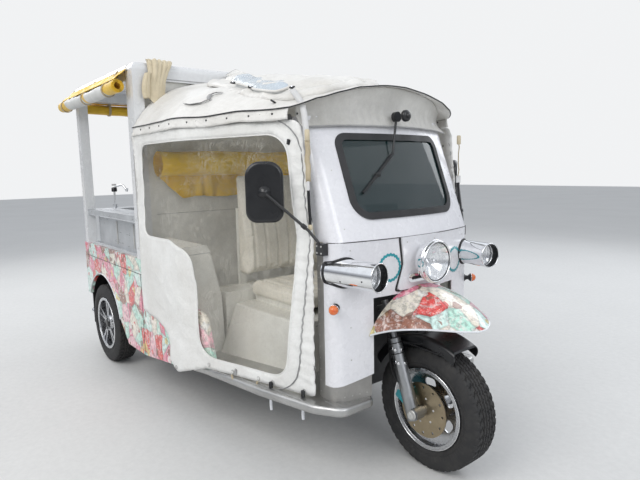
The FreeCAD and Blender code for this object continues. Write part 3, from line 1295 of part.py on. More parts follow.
def make_guard():
    inner = GUARD_R - GUARD_SKIRT
    top = GUARD_R - GUARD_T
    side = GUARD_HALF - GUARD_T
    outer = turned(((top, -side), (inner, -side), (inner, -GUARD_HALF), (GUARD_R, -GUARD_HALF),
                    (GUARD_R, GUARD_HALF), (inner, GUARD_HALF), (inner, side), (top, side)),
                   [12, 0, 0, 16, 16, 0, 0, 12], V(WHEELBASE, 0, TYRE_R))
    front, rear = GUARD_ARC
    run = GUARD_R * 0.86
    wedge = prism_xz(((WHEELBASE, TYRE_R), guard_point(front, GUARD_R), guard_point(front, GUARD_R, run),
                      guard_point(rear, GUARD_R, -run), guard_point(rear, GUARD_R)),
                     -LEG_Y, LEG_Y, (0, GUARD_END_ROUND, 0, 0, GUARD_END_ROUND))
    parts = [outer.common(wedge)]
    # Wire stays from the guard's edge to the legs
    leg = rod(leg_point(LEG_FOOT_Z, LEG_Y), leg_point(LEG_TOP_Z, LEG_Y), LEG_COVER_R + SEAT_GAP)
    high_z = LEG_RINGS[-1]
    for angle, z in ((front + 10, high_z - 10), (front + 32, high_z - 14), (rear - 40, high_z - 17)):
        x, guard_z = guard_point(angle, inner + 8)
        stay = rod(leg_point(z, LEG_Y - LEG_COVER_R), V(x, GUARD_HALF - 2, guard_z), STAY_R).cut(leg)
        parts.append(stay)
        parts.append(mirrored(stay))
    add("wheel_guard", fuse(parts))


def make_handlebar():
    bar_r = 11.0
    clamp = rod(stem_point(STEM_TOP_Z + SEAT_GAP), stem_point(STEM_TOP_Z + 30), STEM_R + 8)
    middle = stem_point(STEM_TOP_Z + 18)
    parts = [clamp]
    left = [middle + V(0, 90, 0), middle + V(-100, 210, 20), middle + V(-130, 335, 20)]
    parts.append(tube([flip(p) for p in left[::-1]] + left, 50, bar_r))
    for end, inner in ((left[2], left[1]), (flip(left[2]), flip(left[1]))):
        parts.append(rod(end, end + (inner - end).normalize() * 115, bar_r + 6))
    cluster = prism_xy(((-30, -70), (60, -70), (60, 70), (-30, 70)), 0, 60, 20)
    cluster.translate(stem_point(STEM_TOP_Z) + V(0, 0, 32))
    parts.append(cluster)
    add("handlebar", fuse(parts))


def make_caliper():
    """It straddles the disc behind the right leg; its hose climbs behind the leg."""
    angle = math.radians(152.0)
    r = DISC_R - 22
    mid = V(WHEELBASE + r * math.cos(angle), 0, TYRE_R + r * math.sin(angle))
    body = block(-CALIPER_BACK, 26, DISC_Y - 24, DISC_Y + DISC_T + 20, -38, 38)
    body = body.makeFillet(8, [e for e in body.Edges if e.BoundBox.YLength > 10])
    slot = block(-26 - MOVE_GAP, 60, DISC_Y - MOVE_GAP, DISC_Y + DISC_T + MOVE_GAP, -60, 60)
    body = body.cut(slot)
    body.rotate(V(0, 0, 0), V(0, 1, 0), CALIPER_TILT)
    body.translate(mid)
    body = body.cut(rod(leg_point(LEG_FOOT_Z - 35, -LEG_Y), leg_point(LEG_TOP_Z, -LEG_Y), LEG_R + SEAT_GAP))
    add("brake_caliper", body)
    # The hose leaves the caliper's rear face and ends under the clamp plate, behind the leg
    tilt = math.radians(CALIPER_TILT)
    out = V(-math.cos(tilt), 0, math.sin(tilt))
    up = V(math.sin(tilt), 0, math.cos(tilt))
    start = mid + out * (CALIPER_BACK + SEAT_GAP) + up * 15 + V(0, DISC_Y - 12, 0)
    behind = LEG_COVER_R + HOSE_R + 3
    back = V(-STEER_WAY.z, 0, STEER_WAY.x)
    end = leg_point(CLAMP_Z, 6 - LEG_Y) + back * behind - STEER_WAY * SEAT_GAP
    points = [start, start + out * 38, leg_point(LEG_RINGS[0] - 30, -LEG_Y) - V(behind + 31, 0, 0),
              end - STEER_WAY * 70, end]
    add("brake_hose", tube(points, (0, 50, 120, 150, 0), HOSE_R))


BUILDERS = (make_chassis, make_floor, make_well, make_nose, make_kick_panels, make_surround, make_glass,
            make_headlamp_panel, make_lamps, make_signals, make_mudguard, make_wiper, make_mirrors,
            make_dashboard, make_canopy, make_canopy_frame, make_curtains, make_roof_bundle, make_drape,
            make_seat, make_lockers, make_box_frame, make_bulkhead, make_side_panels, make_rear_panel,
            make_counter, make_awnings, make_bumper, make_flaps, make_axle, make_wheels, make_fork, make_guard,
            make_handlebar, make_caliper)
for build in BUILDERS:
    build()

# The front tyre reaches furthest forward, the bumper furthest back
X_MID = (WHEELBASE + TYRE_R + BUMPER_X - BUMPER_R) / 2
os.makedirs("parts", exist_ok=True)
for name, solids in NODES.items():
    shape = Part.makeCompound([solid.copy() for solid in solids])
    shape.translate(V(-X_MID, 0, 0))
    shape.exportStep("parts/" + name + ".step")
    print(name, len(solids), all(s.isValid() for s in solids))
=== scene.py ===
from math import atan2, cos, exp, hypot, pi, radians, sin, sqrt, tan, tau

import bmesh
import bpy
from mathutils import Euler, Matrix, Vector, noise
from mathutils.bvhtree import BVHTree
from mathutils.geometry import delaunay_2d_cdt


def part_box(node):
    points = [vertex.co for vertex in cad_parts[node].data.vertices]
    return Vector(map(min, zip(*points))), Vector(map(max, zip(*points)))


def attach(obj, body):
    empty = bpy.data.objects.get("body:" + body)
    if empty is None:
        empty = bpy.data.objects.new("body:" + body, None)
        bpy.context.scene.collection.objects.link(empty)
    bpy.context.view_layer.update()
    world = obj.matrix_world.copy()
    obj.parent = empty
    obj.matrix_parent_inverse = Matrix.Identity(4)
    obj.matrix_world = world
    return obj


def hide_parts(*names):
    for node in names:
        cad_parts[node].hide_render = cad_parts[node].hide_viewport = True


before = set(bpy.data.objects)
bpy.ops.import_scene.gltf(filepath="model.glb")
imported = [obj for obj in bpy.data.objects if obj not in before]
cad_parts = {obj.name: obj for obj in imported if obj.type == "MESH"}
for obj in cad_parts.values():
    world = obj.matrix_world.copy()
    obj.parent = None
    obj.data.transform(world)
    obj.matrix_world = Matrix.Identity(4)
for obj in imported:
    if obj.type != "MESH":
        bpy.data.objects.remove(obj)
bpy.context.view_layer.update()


def box_middle(node):
    low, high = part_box(node)
    return (low + high) / 2


# Places are written as (x from the rear axle, y, z above the ground), in metres
AXLE_X = box_middle("rear_rim_right").x
WHEEL_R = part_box("rear_tyre_right")[1].z / 2
WHEELBASE = box_middle("front_rim").x - AXLE_X
BODY_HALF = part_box("box_frame")[1].y
BOX_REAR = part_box("box_frame")[0].x - AXLE_X
BOX_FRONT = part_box("box_frame")[1].x - AXLE_X
BOX_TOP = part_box("box_frame")[1].z
UP = Vector((0, 0, 1))
SIDES = (("right", -1), ("left", 1))


def at(x, y, z):
    return Vector((x + AXLE_X, y, z))


def linked(name, data):
    """A new object in the scene for a mesh, a curve, a lamp or a camera."""
    made = bpy.data.objects.new(name, data)
    bpy.context.scene.collection.objects.link(made)
    return made


# Body lines shared by the curtain, the canopy and the nose
TAPER_X = 1.29
CURTAIN_FRONT_X = 2.055
CURTAIN_FRONT_HALF = 0.447
NOSE_FRONT_X = 2.2
NOSE_HALF = 0.432
NOSE_BOW = 0.064
BELT_Z = 1.0
RAKE = 0.375
NOSE_BIG_R = (NOSE_HALF ** 2 + NOSE_BOW ** 2) / (2 * NOSE_BOW)


# Camera: the photograph's place and viewing angle
CAMERA_AT = Vector((3.6664, -1.7309, 1.2849))
CAMERA_YAW = radians(141.07)
CAMERA_PITCH = radians(-7.656)
CAMERA_ROLL = radians(-1.139)
CAMERA_LENS = 29.57


def make_camera():
    forward = Vector((cos(CAMERA_YAW) * cos(CAMERA_PITCH), sin(CAMERA_YAW) * cos(CAMERA_PITCH),
        sin(CAMERA_PITCH)))
    right = forward.cross(UP).normalized()
    up = right.cross(forward)
    c, s = cos(CAMERA_ROLL), sin(CAMERA_ROLL)
    rolled_right = right * c + up * s
    rolled_up = up * c - right * s
    data = bpy.data.cameras.new("camera")
    data.lens = CAMERA_LENS
    data.sensor_width = 36.0
    camera = linked("camera", data)
    turn = Matrix((rolled_right, rolled_up, -forward)).transposed()
    camera.matrix_world = Matrix.Translation(at(*CAMERA_AT)) @ turn.to_4x4()
    bpy.context.scene.camera = camera


# Materials: a small builder of node trees
class Paint:
    """One procedural material, with its texture nodes made by short calls."""

    def __init__(self, name, color, rough, metal=0.0, coat=0.0, sheen=0.0, specular=0.5):
        self.material = bpy.data.materials.new(name)
        self.material.use_nodes = True
        tree = self.material.node_tree
        self.nodes = tree.nodes
        self.links = tree.links
        self.shader = next(n for n in self.nodes if n.type == "BSDF_PRINCIPLED")
        self.put("Base Color", (*color, 1.0))
        self.put("Roughness", rough)
        self.put("Metallic", metal)
        self.put("Coat Weight", coat)
        self.put("Coat Roughness", 0.08)
        self.put("Sheen Weight", sheen)
        self.put("Specular IOR Level", specular)
        self.coords = self.node("ShaderNodeTexCoord").outputs["Object"]

    def put(self, socket, value):
        self.shader.inputs[socket].default_value = value

    def node(self, kind, **values):
        made = self.nodes.new(kind)
        for key, value in values.items():
            if hasattr(made, key):
                setattr(made, key, value)
            else:
                made.inputs[key.replace("_", " ")].default_value = value
        return made

    def join(self, source, target):
        self.links.new(source, target)

    def place(self, scale=(1, 1, 1), turn=(0, 0, 0), shift=(0, 0, 0)):
        mapping = self.node("ShaderNodeMapping", Scale=scale, Rotation=turn, Location=shift)
        self.join(self.coords, mapping.inputs["Vector"])
        return mapping.outputs["Vector"]

    def noise(self, scale, detail=4.0, rough=0.6, where=None, distort=0.0):
        made = self.node("ShaderNodeTexNoise", Scale=scale, Detail=detail, Roughness=rough,
            Distortion=distort)
        self.join(where or self.coords, made.inputs["Vector"])
        return made.outputs["Fac"]

    def wave(self, scale, where=None, distort=0.0, direction="X"):
        made = self.node("ShaderNodeTexWave", bands_direction=direction, Scale=scale, Distortion=distort)
        self.join(where or self.coords, made.inputs["Vector"])
        return made.outputs["Fac"]

    def cells(self, scale, where=None, feature="F1", output="Distance", random_share=1.0):
        made = self.node("ShaderNodeTexVoronoi", feature=feature, Scale=scale, Randomness=random_share)
        self.join(where or self.coords, made.inputs["Vector"])
        return made.outputs[output]

    def ramp(self, factor, stops, sharp=False):
        made = self.node("ShaderNodeValToRGB")
        band = made.color_ramp
        band.interpolation = "CONSTANT" if sharp else "LINEAR"
        while len(band.elements) < len(stops):
            band.elements.new(0.5)
        for element, (place, color) in zip(band.elements, stops):
            element.position = place
            if isinstance(color, (int, float)):
                color = (color, color, color)
            element.color = (*color, 1.0)
        self.join(factor, made.inputs["Fac"])
        return made.outputs["Color"]

    def cloud(self, stops, *grain, **more):
        return self.ramp(self.noise(*grain, **more), stops)

    def mix(self, factor, first, second, blend="MIX"):
        made = self.node("ShaderNodeMix", data_type="RGBA", blend_type=blend)
        for value, socket in ((factor, made.inputs["Factor"]), (first, made.inputs["A"]),
                (second, made.inputs["B"])):
            if hasattr(value, "is_linked"):
                self.join(value, socket)
            elif isinstance(value, (int, float)):
                socket.default_value = value
            else:
                socket.default_value = (*value, 1.0)
        return made.outputs["Result"]

    def math(self, kind, first, second=0.0, third=0.0):
        made = self.node("ShaderNodeMath", operation=kind)
        for value, socket in zip((first, second, third), made.inputs):
            if hasattr(value, "is_linked"):
                self.join(value, socket)
            else:
                socket.default_value = value
        return made.outputs[0]

    def axis(self, letter, where=None):
        made = self.node("ShaderNodeSeparateXYZ")
        self.join(where or self.coords, made.inputs[0])
        return made.outputs[letter]

    def color(self, source):
        self.join(source, self.shader.inputs["Base Color"])
        return self

    def rough(self, source):
        self.join(source, self.shader.inputs["Roughness"])
        return self

    def alpha(self, source):
        self.join(source, self.shader.inputs["Alpha"])
        return self

    def bump(self, height, strength, distance):
        made = self.node("ShaderNodeBump", Strength=strength, Distance=distance)
        last = self.shader.inputs["Normal"].links
        if last:
            self.join(last[0].from_socket, made.inputs["Normal"])
        self.join(height, made.inputs["Height"])
        self.join(made.outputs["Normal"], self.shader.inputs["Normal"])
        return self


def mottled(paint, base, dark, scale=3.0, grain=40.0, low=0.35, high=0.7):
    """Base colour with soft darker clouds and fine grain."""
    clouds = paint.cloud(((low, dark), (high, base)), scale, 6.0, 0.65)
    fine = paint.cloud(((0.3, 0.93), (0.7, 1.0)), grain, 3.0, 0.7)
    return paint.mix(1.0, clouds, fine, "MULTIPLY")


def gloss_white(name, base, dark):
    paint = Paint(name, base, 0.24, coat=0.6)
    paint.color(mottled(paint, base, dark, 2.2, 60.0, 0.3, 0.55))
    paint.rough(paint.cloud(((0.3, 0.18), (0.7, 0.34)), 9.0, 5.0))
    paint.bump(paint.noise(55.0, 2.0), 0.05, 0.001)
    return paint.material


def printed(name, fade_z, fade_soft):
    """White paint with a generic pattern of sorbet-coloured scoops, petals and shavings below a wavy edge."""
    paint = Paint(name, (0.8, 0.8, 0.82), 0.26, coat=0.5)
    wobble = paint.noise(5.0, 2.0)
    bent = paint.node("ShaderNodeVectorMath", operation="ADD")
    shift = paint.node("ShaderNodeVectorMath", operation="SCALE")
    tint = paint.node("ShaderNodeTexNoise", Scale=7.0)
    paint.join(paint.coords, tint.inputs["Vector"])
    paint.join(tint.outputs["Color"], shift.inputs[0])
    shift.inputs["Scale"].default_value = 0.05
    paint.join(paint.coords, bent.inputs[0])
    paint.join(shift.outputs[0], bent.inputs[1])
    where = bent.outputs[0]
    pick = paint.node("ShaderNodeSeparateColor")
    paint.join(paint.cells(9.5, where, output="Color"), pick.inputs[0])
    hues = paint.ramp(pick.outputs[0], ((0.0, (0.8, 0.23, 0.33)), (0.17, (0.86, 0.48, 0.54)),
        (0.36, (0.5, 0.8, 0.68)), (0.54, (0.74, 0.07, 0.06)), (0.66, (0.34, 0.15, 0.1)),
        (0.76, (0.84, 0.78, 0.66)), (0.88, (0.66, 0.86, 0.8))), sharp=True)
    streaks = paint.noise(15.0, 7.0, 0.8, distort=2.2)
    flesh = paint.mix(paint.ramp(streaks, ((0.5, 0.0), (0.6, 0.75))), hues, (0.9, 0.8, 0.76))
    dark = paint.mix(1.0, hues, (0.52, 0.34, 0.34), "MULTIPLY")
    flesh = paint.mix(paint.ramp(streaks, ((0.3, 0.85), (0.4, 0.0))), flesh, dark)
    chips = paint.node("ShaderNodeSeparateColor")
    paint.join(paint.cells(30.0, where, output="Color"), chips.inputs[0])
    chip_hues = paint.ramp(chips.outputs[1], ((0.0, (0.26, 0.1, 0.06)), (0.3, (0.8, 0.62, 0.2)),
        (0.5, (0.86, 0.86, 0.82)), (0.75, (0.78, 0.1, 0.1))), sharp=True)
    flesh = paint.mix(paint.ramp(chips.outputs[0], ((0.86, 0.0), (0.88, 0.8))), flesh, chip_hues)
    grit = paint.cloud(((0.38, 0.62), (0.5, 0.95), (0.66, 1.12)), 46.0, 3.0, 0.75)
    flesh = paint.mix(1.0, flesh, grit, "MULTIPLY")
    seeds = paint.ramp(paint.cells(34.0, where), ((0.07, (0.93, 0.8, 0.62)), (0.12, (0, 0, 0))))
    flesh = paint.mix(0.55, flesh, seeds, "SCREEN")
    edge = paint.ramp(paint.cells(9.5, where, feature="DISTANCE_TO_EDGE"), ((0.0, 0.66), (0.06, 1.0)))
    flesh = paint.mix(1.0, flesh, edge, "MULTIPLY")
    height = paint.math("ADD", paint.axis("Z"), paint.math("MULTIPLY", wobble, 0.3))
    mask = paint.ramp(paint.math("MULTIPLY_ADD", height, 1.0 / fade_soft, -fade_z / fade_soft),
        ((0.49, 1.0), (0.51, 0.0)))
    white = mottled(paint, (0.76, 0.78, 0.82), (0.68, 0.7, 0.73), 3.0, 70.0)
    paint.color(paint.mix(mask, white, flesh))
    paint.bump(paint.noise(55.0, 2.0), 0.05, 0.001)
    return paint.material


def brushed(name, base, rough, stretch, coat=0.0, metal=1.0):
    paint = Paint(name, base, rough, metal=metal, coat=coat)
    lines = paint.noise(60.0, 6.0, 0.7, paint.place(stretch))
    smudge = paint.noise(5.0, 5.0, 0.7)
    dark = tuple(c * 0.72 for c in base)
    paint.color(paint.mix(paint.ramp(smudge, ((0.35, 0.0), (0.7, 1.0))), dark, base))
    paint.rough(paint.math("ADD", paint.ramp(lines, ((0.3, rough * 0.75), (0.7, rough * 1.25))),
        paint.ramp(smudge, ((0.4, 0.0), (0.75, 0.1)))))
    paint.bump(lines, 0.1, 0.0006)
    return paint.material


def chrome():
    paint = Paint("chrome", (0.86, 0.87, 0.88), 0.05, metal=1.0)
    paint.rough(paint.cloud(((0.45, 0.035), (0.8, 0.16)), 14.0, 5.0, 0.7))
    paint.color(paint.cloud(((0.3, (0.8, 0.8, 0.81)), (0.6, (0.9, 0.91, 0.92))), 30.0, 4.0))
    return paint.material


def dark_coat(name, base, rough, coat=0.0, grain=160.0, depth=0.0006):
    paint = Paint(name, base, rough, coat=coat)
    light = tuple(min(1.0, c * 2.2 + 0.01) for c in base)
    dust = paint.cloud(((0.45, 0.0), (0.85, 0.6)), 7.0, 6.0, 0.7)
    paint.color(paint.mix(dust, base, light))
    paint.rough(paint.cloud(((0.3, rough * 0.85), (0.7, min(1.0, rough * 1.2))), 20.0, 4.0))
    paint.bump(paint.noise(grain, 3.0, 0.7), 0.25, depth)
    return paint.material


def tyre_rubber():
    paint = Paint("tyre_rubber", (0.022, 0.022, 0.023), 0.72)
    dust = paint.cloud(((0.42, 0.0), (0.8, 0.7)), 12.0, 6.0, 0.75)
    paint.color(paint.mix(dust, (0.02, 0.02, 0.021), (0.062, 0.058, 0.053)))
    paint.bump(paint.noise(220.0, 3.0, 0.8), 0.3, 0.0008)
    return paint.material


def vinyl(name, base, dark, crease=0.5, grain=260.0):
    """Coated cloth: fine weave, grey scuffs, soft creases."""
    paint = Paint(name, base, 0.52, sheen=0.15, specular=0.35)
    clouds = mottled(paint, base, dark, 4.0, 90.0, 0.3, 0.62)
    scuff = paint.cloud(((0.56, 0.0), (0.72, 0.5)), 11.0, 8.0, 0.8, distort=1.5)
    paint.color(paint.mix(scuff, clouds, tuple(c * 0.82 for c in dark)))
    paint.rough(paint.cloud(((0.3, 0.42), (0.7, 0.62)), 16.0, 4.0))
    folds = paint.noise(6.5, 5.0, 0.55, paint.place((1.0, 1.0, 1.4)), distort=1.2)
    paint.bump(folds, crease, 0.012)
    thread = paint.math("ADD", paint.wave(grain, direction="X"), paint.wave(grain, direction="Z"))
    paint.bump(thread, 0.06, 0.0004)
    return paint.material


def film(name, base, low, high):
    """Clear sheet with wandering fine whitish scratches, and painted glints: small bright blotches in its
    colour and alpha.
    """
    paint = Paint(name, base, 0.12, specular=0.8)
    thin = paint.math("ABSOLUTE", paint.math("SUBTRACT", paint.noise(7.0, 8.0, 0.75, distort=3.5), 0.5))
    second = paint.math("ABSOLUTE", paint.math("SUBTRACT", paint.noise(13.0, 8.0, 0.8,
        paint.place((1, 1, 0.6), (0.0, 0.9, 0.0), (3.1, 0, 1.7)), distort=2.5), 0.5))
    line = paint.ramp(paint.math("MINIMUM", thin, second), ((0.0, 0.75), (0.006, 0.0)))
    patch = paint.cloud(((0.42, 0.15), (0.62, 1.0)), 3.0, 4.0, 0.6, paint.place(shift=(5.0, 0, 2.0)))
    # Painted glints: small bright blotches in the scratched patches, a quarter as strong below 0.7 m as above
    # 1 m.
    painted_glint = paint.cloud(((0.66, 0.0), (0.7, 0.85)), 46.0, 4.0, 0.8, distort=1.0)
    glint_by_height = paint.ramp(paint.axis("Z"), ((0.7, 0.25), (1.0, 1.0)))
    painted_glint = paint.math("MULTIPLY", painted_glint, paint.math("MULTIPLY", glint_by_height, patch))
    # Scratches and painted glints together set the sheet's whitish colour, its alpha and its roughness.
    scratches_and_glints = paint.math("MAXIMUM", paint.math("MULTIPLY", line, patch), painted_glint)
    haze = paint.cloud(((0.3, low), (0.75, high)), 2.6, 5.0, 0.6)
    paint.alpha(paint.math("MINIMUM", paint.math("ADD", scratches_and_glints, haze), 1.0))
    paint.color(paint.mix(scratches_and_glints, base, (0.95, 0.92, 0.84)))
    paint.rough(paint.ramp(scratches_and_glints, ((0.0, 0.1), (0.6, 0.5))))
    paint.bump(paint.noise(4.5, 4.0, 0.5, distort=0.8), 0.5, 0.02)
    return paint.material


def screen_glass():
    paint = Paint("screen_glass", (0.004, 0.02, 0.022), 0.03, specular=0.5, coat=0.25)
    paint.shader.inputs["Coat Roughness"].default_value = 0.02
    paint.alpha(paint.cloud(((0.3, 0.76), (0.7, 0.86)), 1.6, 3.0))
    return paint.material


def lens_glass():
    paint = Paint("lens_glass", (0.85, 0.87, 0.9), 0.08, specular=0.9, coat=1.0)
    ribs = paint.wave(26.0, direction="Y")
    paint.alpha(paint.ramp(ribs, ((0.2, 0.1), (0.8, 0.24))))
    paint.bump(ribs, 0.6, 0.002)
    return paint.material


def signal_lens(name, base, dark, light):
    paint = Paint(name, base, 0.14, coat=1.0)
    paint.color(paint.cloud(((0.3, dark), (0.7, light)), 40.0, 3.0))
    paint.bump(paint.wave(90.0, direction="Z"), 0.4, 0.001)
    return paint.material


def mirror_glass():
    paint = Paint("mirror_glass", (0.8, 0.82, 0.84), 0.03, metal=1.0)
    paint.rough(paint.cloud(((0.5, 0.02), (0.8, 0.09)), 18.0, 5.0, 0.7))
    return paint.material


def leather(name, base, dark):
    paint = Paint(name, base, 0.42, sheen=0.1)
    paint.color(mottled(paint, base, dark, 5.0, 70.0, 0.28, 0.6))
    paint.rough(paint.cloud(((0.3, 0.32), (0.7, 0.55)), 14.0, 4.0))
    paint.bump(paint.cells(240.0), 0.22, 0.0008)
    paint.bump(paint.noise(9.0, 4.0, 0.5, distort=1.0), 0.3, 0.006)
    return paint.material


def awning_cloth():
    """Yellow cloth with a grey and white middle between gold stripes, along the vehicle."""
    paint = Paint("awning_cloth", (0.8, 0.52, 0.02), 0.5, sheen=0.2)
    along = paint.math("ADD", paint.axis("X"), paint.math("MULTIPLY", paint.axis("Z"), 0.9))
    bands = paint.ramp(paint.math("MULTIPLY_ADD", along, 0.89, -0.16), ((0.0, (0.78, 0.48, 0.02)),
        (0.13, (0.62, 0.62, 0.6)), (0.46, (0.7, 0.7, 0.68)), (0.49, (0.72, 0.45, 0.05)),
        (0.53, (0.66, 0.66, 0.64)), (0.84, (0.8, 0.5, 0.02))), sharp=True)
    worn = paint.cloud(((0.3, 0.78), (0.7, 1.05)), 9.0, 6.0, 0.7)
    paint.color(paint.mix(1.0, bands, worn, "MULTIPLY"))
    paint.bump(paint.noise(8.0, 5.0, 0.6, distort=1.5), 0.6, 0.012)
    paint.bump(paint.wave(300.0, direction="X"), 0.08, 0.0004)
    return paint.material


MATERIALS = {
    "nose": gloss_white("nose_paint", (0.79, 0.79, 0.82), (0.74, 0.74, 0.77)),
    "post": gloss_white("post_paint", (0.75, 0.76, 0.77), (0.72, 0.73, 0.74)),
    "panel": gloss_white("panel_paint", (0.76, 0.78, 0.81), (0.66, 0.68, 0.7)),
    "side_print": printed("side_print", 0.72, 0.6),
    "guard_print": printed("guard_print", 1.2, 0.6),
    "stainless": brushed("stainless", (0.6, 0.6, 0.58), 0.34, (1.0, 1.0, 0.04), metal=0.35),
    "partition": brushed("partition", (0.86, 0.85, 0.8), 0.45, (1.0, 1.0, 0.04), metal=0.0),
    "kick_steel": brushed("kick_steel", (0.42, 0.41, 0.39), 0.34, (1.0, 1.0, 0.03), metal=0.6),
    "counter_steel": brushed("counter_steel", (0.66, 0.68, 0.7), 0.3, (0.04, 1.0, 1.0), metal=0.5),
    "chrome": chrome(),
    "alloy": brushed("satin_alloy", (0.42, 0.43, 0.44), 0.36, (1.0, 1.0, 0.3)),
    "rim": brushed("rim_alloy", (0.66, 0.67, 0.69), 0.26, (1.0, 1.0, 1.0)),
    "tread_plate": brushed("tread_plate", (0.6, 0.6, 0.59), 0.42, (0.1, 1.0, 1.0)),
    "frame_tube": brushed("frame_tube", (0.5, 0.5, 0.51), 0.4, (0.1, 1.0, 1.0)),
    "disc": brushed("disc_steel", (0.45, 0.37, 0.25), 0.34, (1.0, 1.0, 1.0)),
    "cast": dark_coat("cast_metal", (0.1, 0.1, 0.1), 0.6, 0.0, 90.0, 0.002),
    "black_paint": dark_coat("black_paint", (0.02, 0.02, 0.021), 0.5),
    "black_steel": dark_coat("black_steel", (0.014, 0.014, 0.015), 0.34, 0.3),
    "black_plastic": dark_coat("black_plastic", (0.008, 0.0085, 0.01), 0.3, 0.1, 300.0),
    "rubber": dark_coat("black_rubber", (0.012, 0.012, 0.013), 0.5, 0.0, 200.0),
    "tyre": tyre_rubber(),
    "curtain": vinyl("curtain_vinyl", (0.86, 0.86, 0.84), (0.72, 0.71, 0.68), 0.7),
    "canopy": vinyl("canopy_vinyl", (0.85, 0.84, 0.81), (0.66, 0.64, 0.6), 0.9),
    "header": vinyl("header_vinyl", (0.66, 0.65, 0.62), (0.52, 0.51, 0.48), 0.7),
    "beige": vinyl("beige_vinyl", (0.66, 0.58, 0.42), (0.52, 0.44, 0.3), 0.5),
    "webbing": vinyl("webbing", (0.72, 0.72, 0.72), (0.58, 0.58, 0.58), 0.2, 500.0),
    "tan_webbing": vinyl("tan_webbing", (0.52, 0.44, 0.3), (0.38, 0.31, 0.2), 0.2, 500.0),
    "thread": vinyl("thread", (0.46, 0.46, 0.45), (0.3, 0.3, 0.29), 0.1),
    "grey_trim": dark_coat("grey_trim", (0.3, 0.3, 0.3), 0.6),
    "film": film("clear_film", (0.94, 0.91, 0.8), 0.02, 0.1),
    "fold_film": film("folded_film", (0.62, 0.72, 0.82), 0.45, 0.8),
    "screen": screen_glass(),
    "lens": lens_glass(),
    "amber": signal_lens("amber_lens", (0.86, 0.17, 0.01), (0.62, 0.08, 0.01), (0.92, 0.24, 0.02)),
    "leather": leather("cream_leather", (0.78, 0.74, 0.64), (0.62, 0.58, 0.49)),
    "moulding": leather("white_moulding", (0.78, 0.77, 0.71), (0.64, 0.62, 0.56)),
    "awning": awning_cloth(),
    "yellow": vinyl("yellow_cloth", (0.92, 0.6, 0.01), (0.76, 0.44, 0.005), 0.6),
    "teal": dark_coat("teal_paint", (0.01, 0.24, 0.28), 0.4, 0.2),
    "red_lens": signal_lens("red_lens", (0.45, 0.01, 0.01), (0.32, 0.006, 0.006), (0.52, 0.015, 0.012)),
    "mirror": mirror_glass(),
}

CAD_FINISH = {
    "chassis_frame": "black_paint", "floor_pan": "tread_plate", "wheel_well": "black_paint",
    "nose_cowl": "nose", "kick_panels": "kick_steel", "windscreen_surround": "nose",
    "windscreen_glass": "screen", "windscreen_gasket": "rubber", "headlamp_panel": "nose",
    "lamp_housings": "chrome", "lamp_lenses": "lens", "signal_lamps": "amber",
    "front_mudguard": "guard_print", "wiper": "black_plastic", "mirror_arms": "black_steel",
    "mirror_heads": "black_plastic", "dashboard": "black_plastic", "canopy": "canopy",
    "canopy_frame": "frame_tube", "door_curtains": "curtain", "door_windows": "film",
    "roof_bundle": "canopy", "cab_drape": "yellow", "seat_base": "moulding", "seat_cushion": "leather",
    "seat_back": "leather", "side_lockers": "moulding", "box_frame": "post", "box_roof": "panel",
    "bulkhead": "partition", "side_panels": "side_print", "rear_panel": "panel",
    "counter": "counter_steel", "tap": "chrome", "awnings": "awning", "rear_bumper": "chrome",
    "mud_flaps": "rubber", "rear_axle": "black_paint", "drive_unit": "cast", "front_tyre": "tyre",
    "front_rim": "rim", "rear_tyre_right": "tyre", "rear_tyre_left": "tyre", "rear_rim_right": "rim",
    "rear_rim_left": "rim", "front_brake_disc": "disc", "fork": "alloy", "wheel_guard": "black_plastic",
    "handlebar": "black_steel", "brake_caliper": "teal", "brake_hose": "rubber",
}


def finish_cad_nodes():
    for name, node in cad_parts.items():
        node.data.materials.clear()
        node.data.materials.append(MATERIALS[CAD_FINISH[name]])


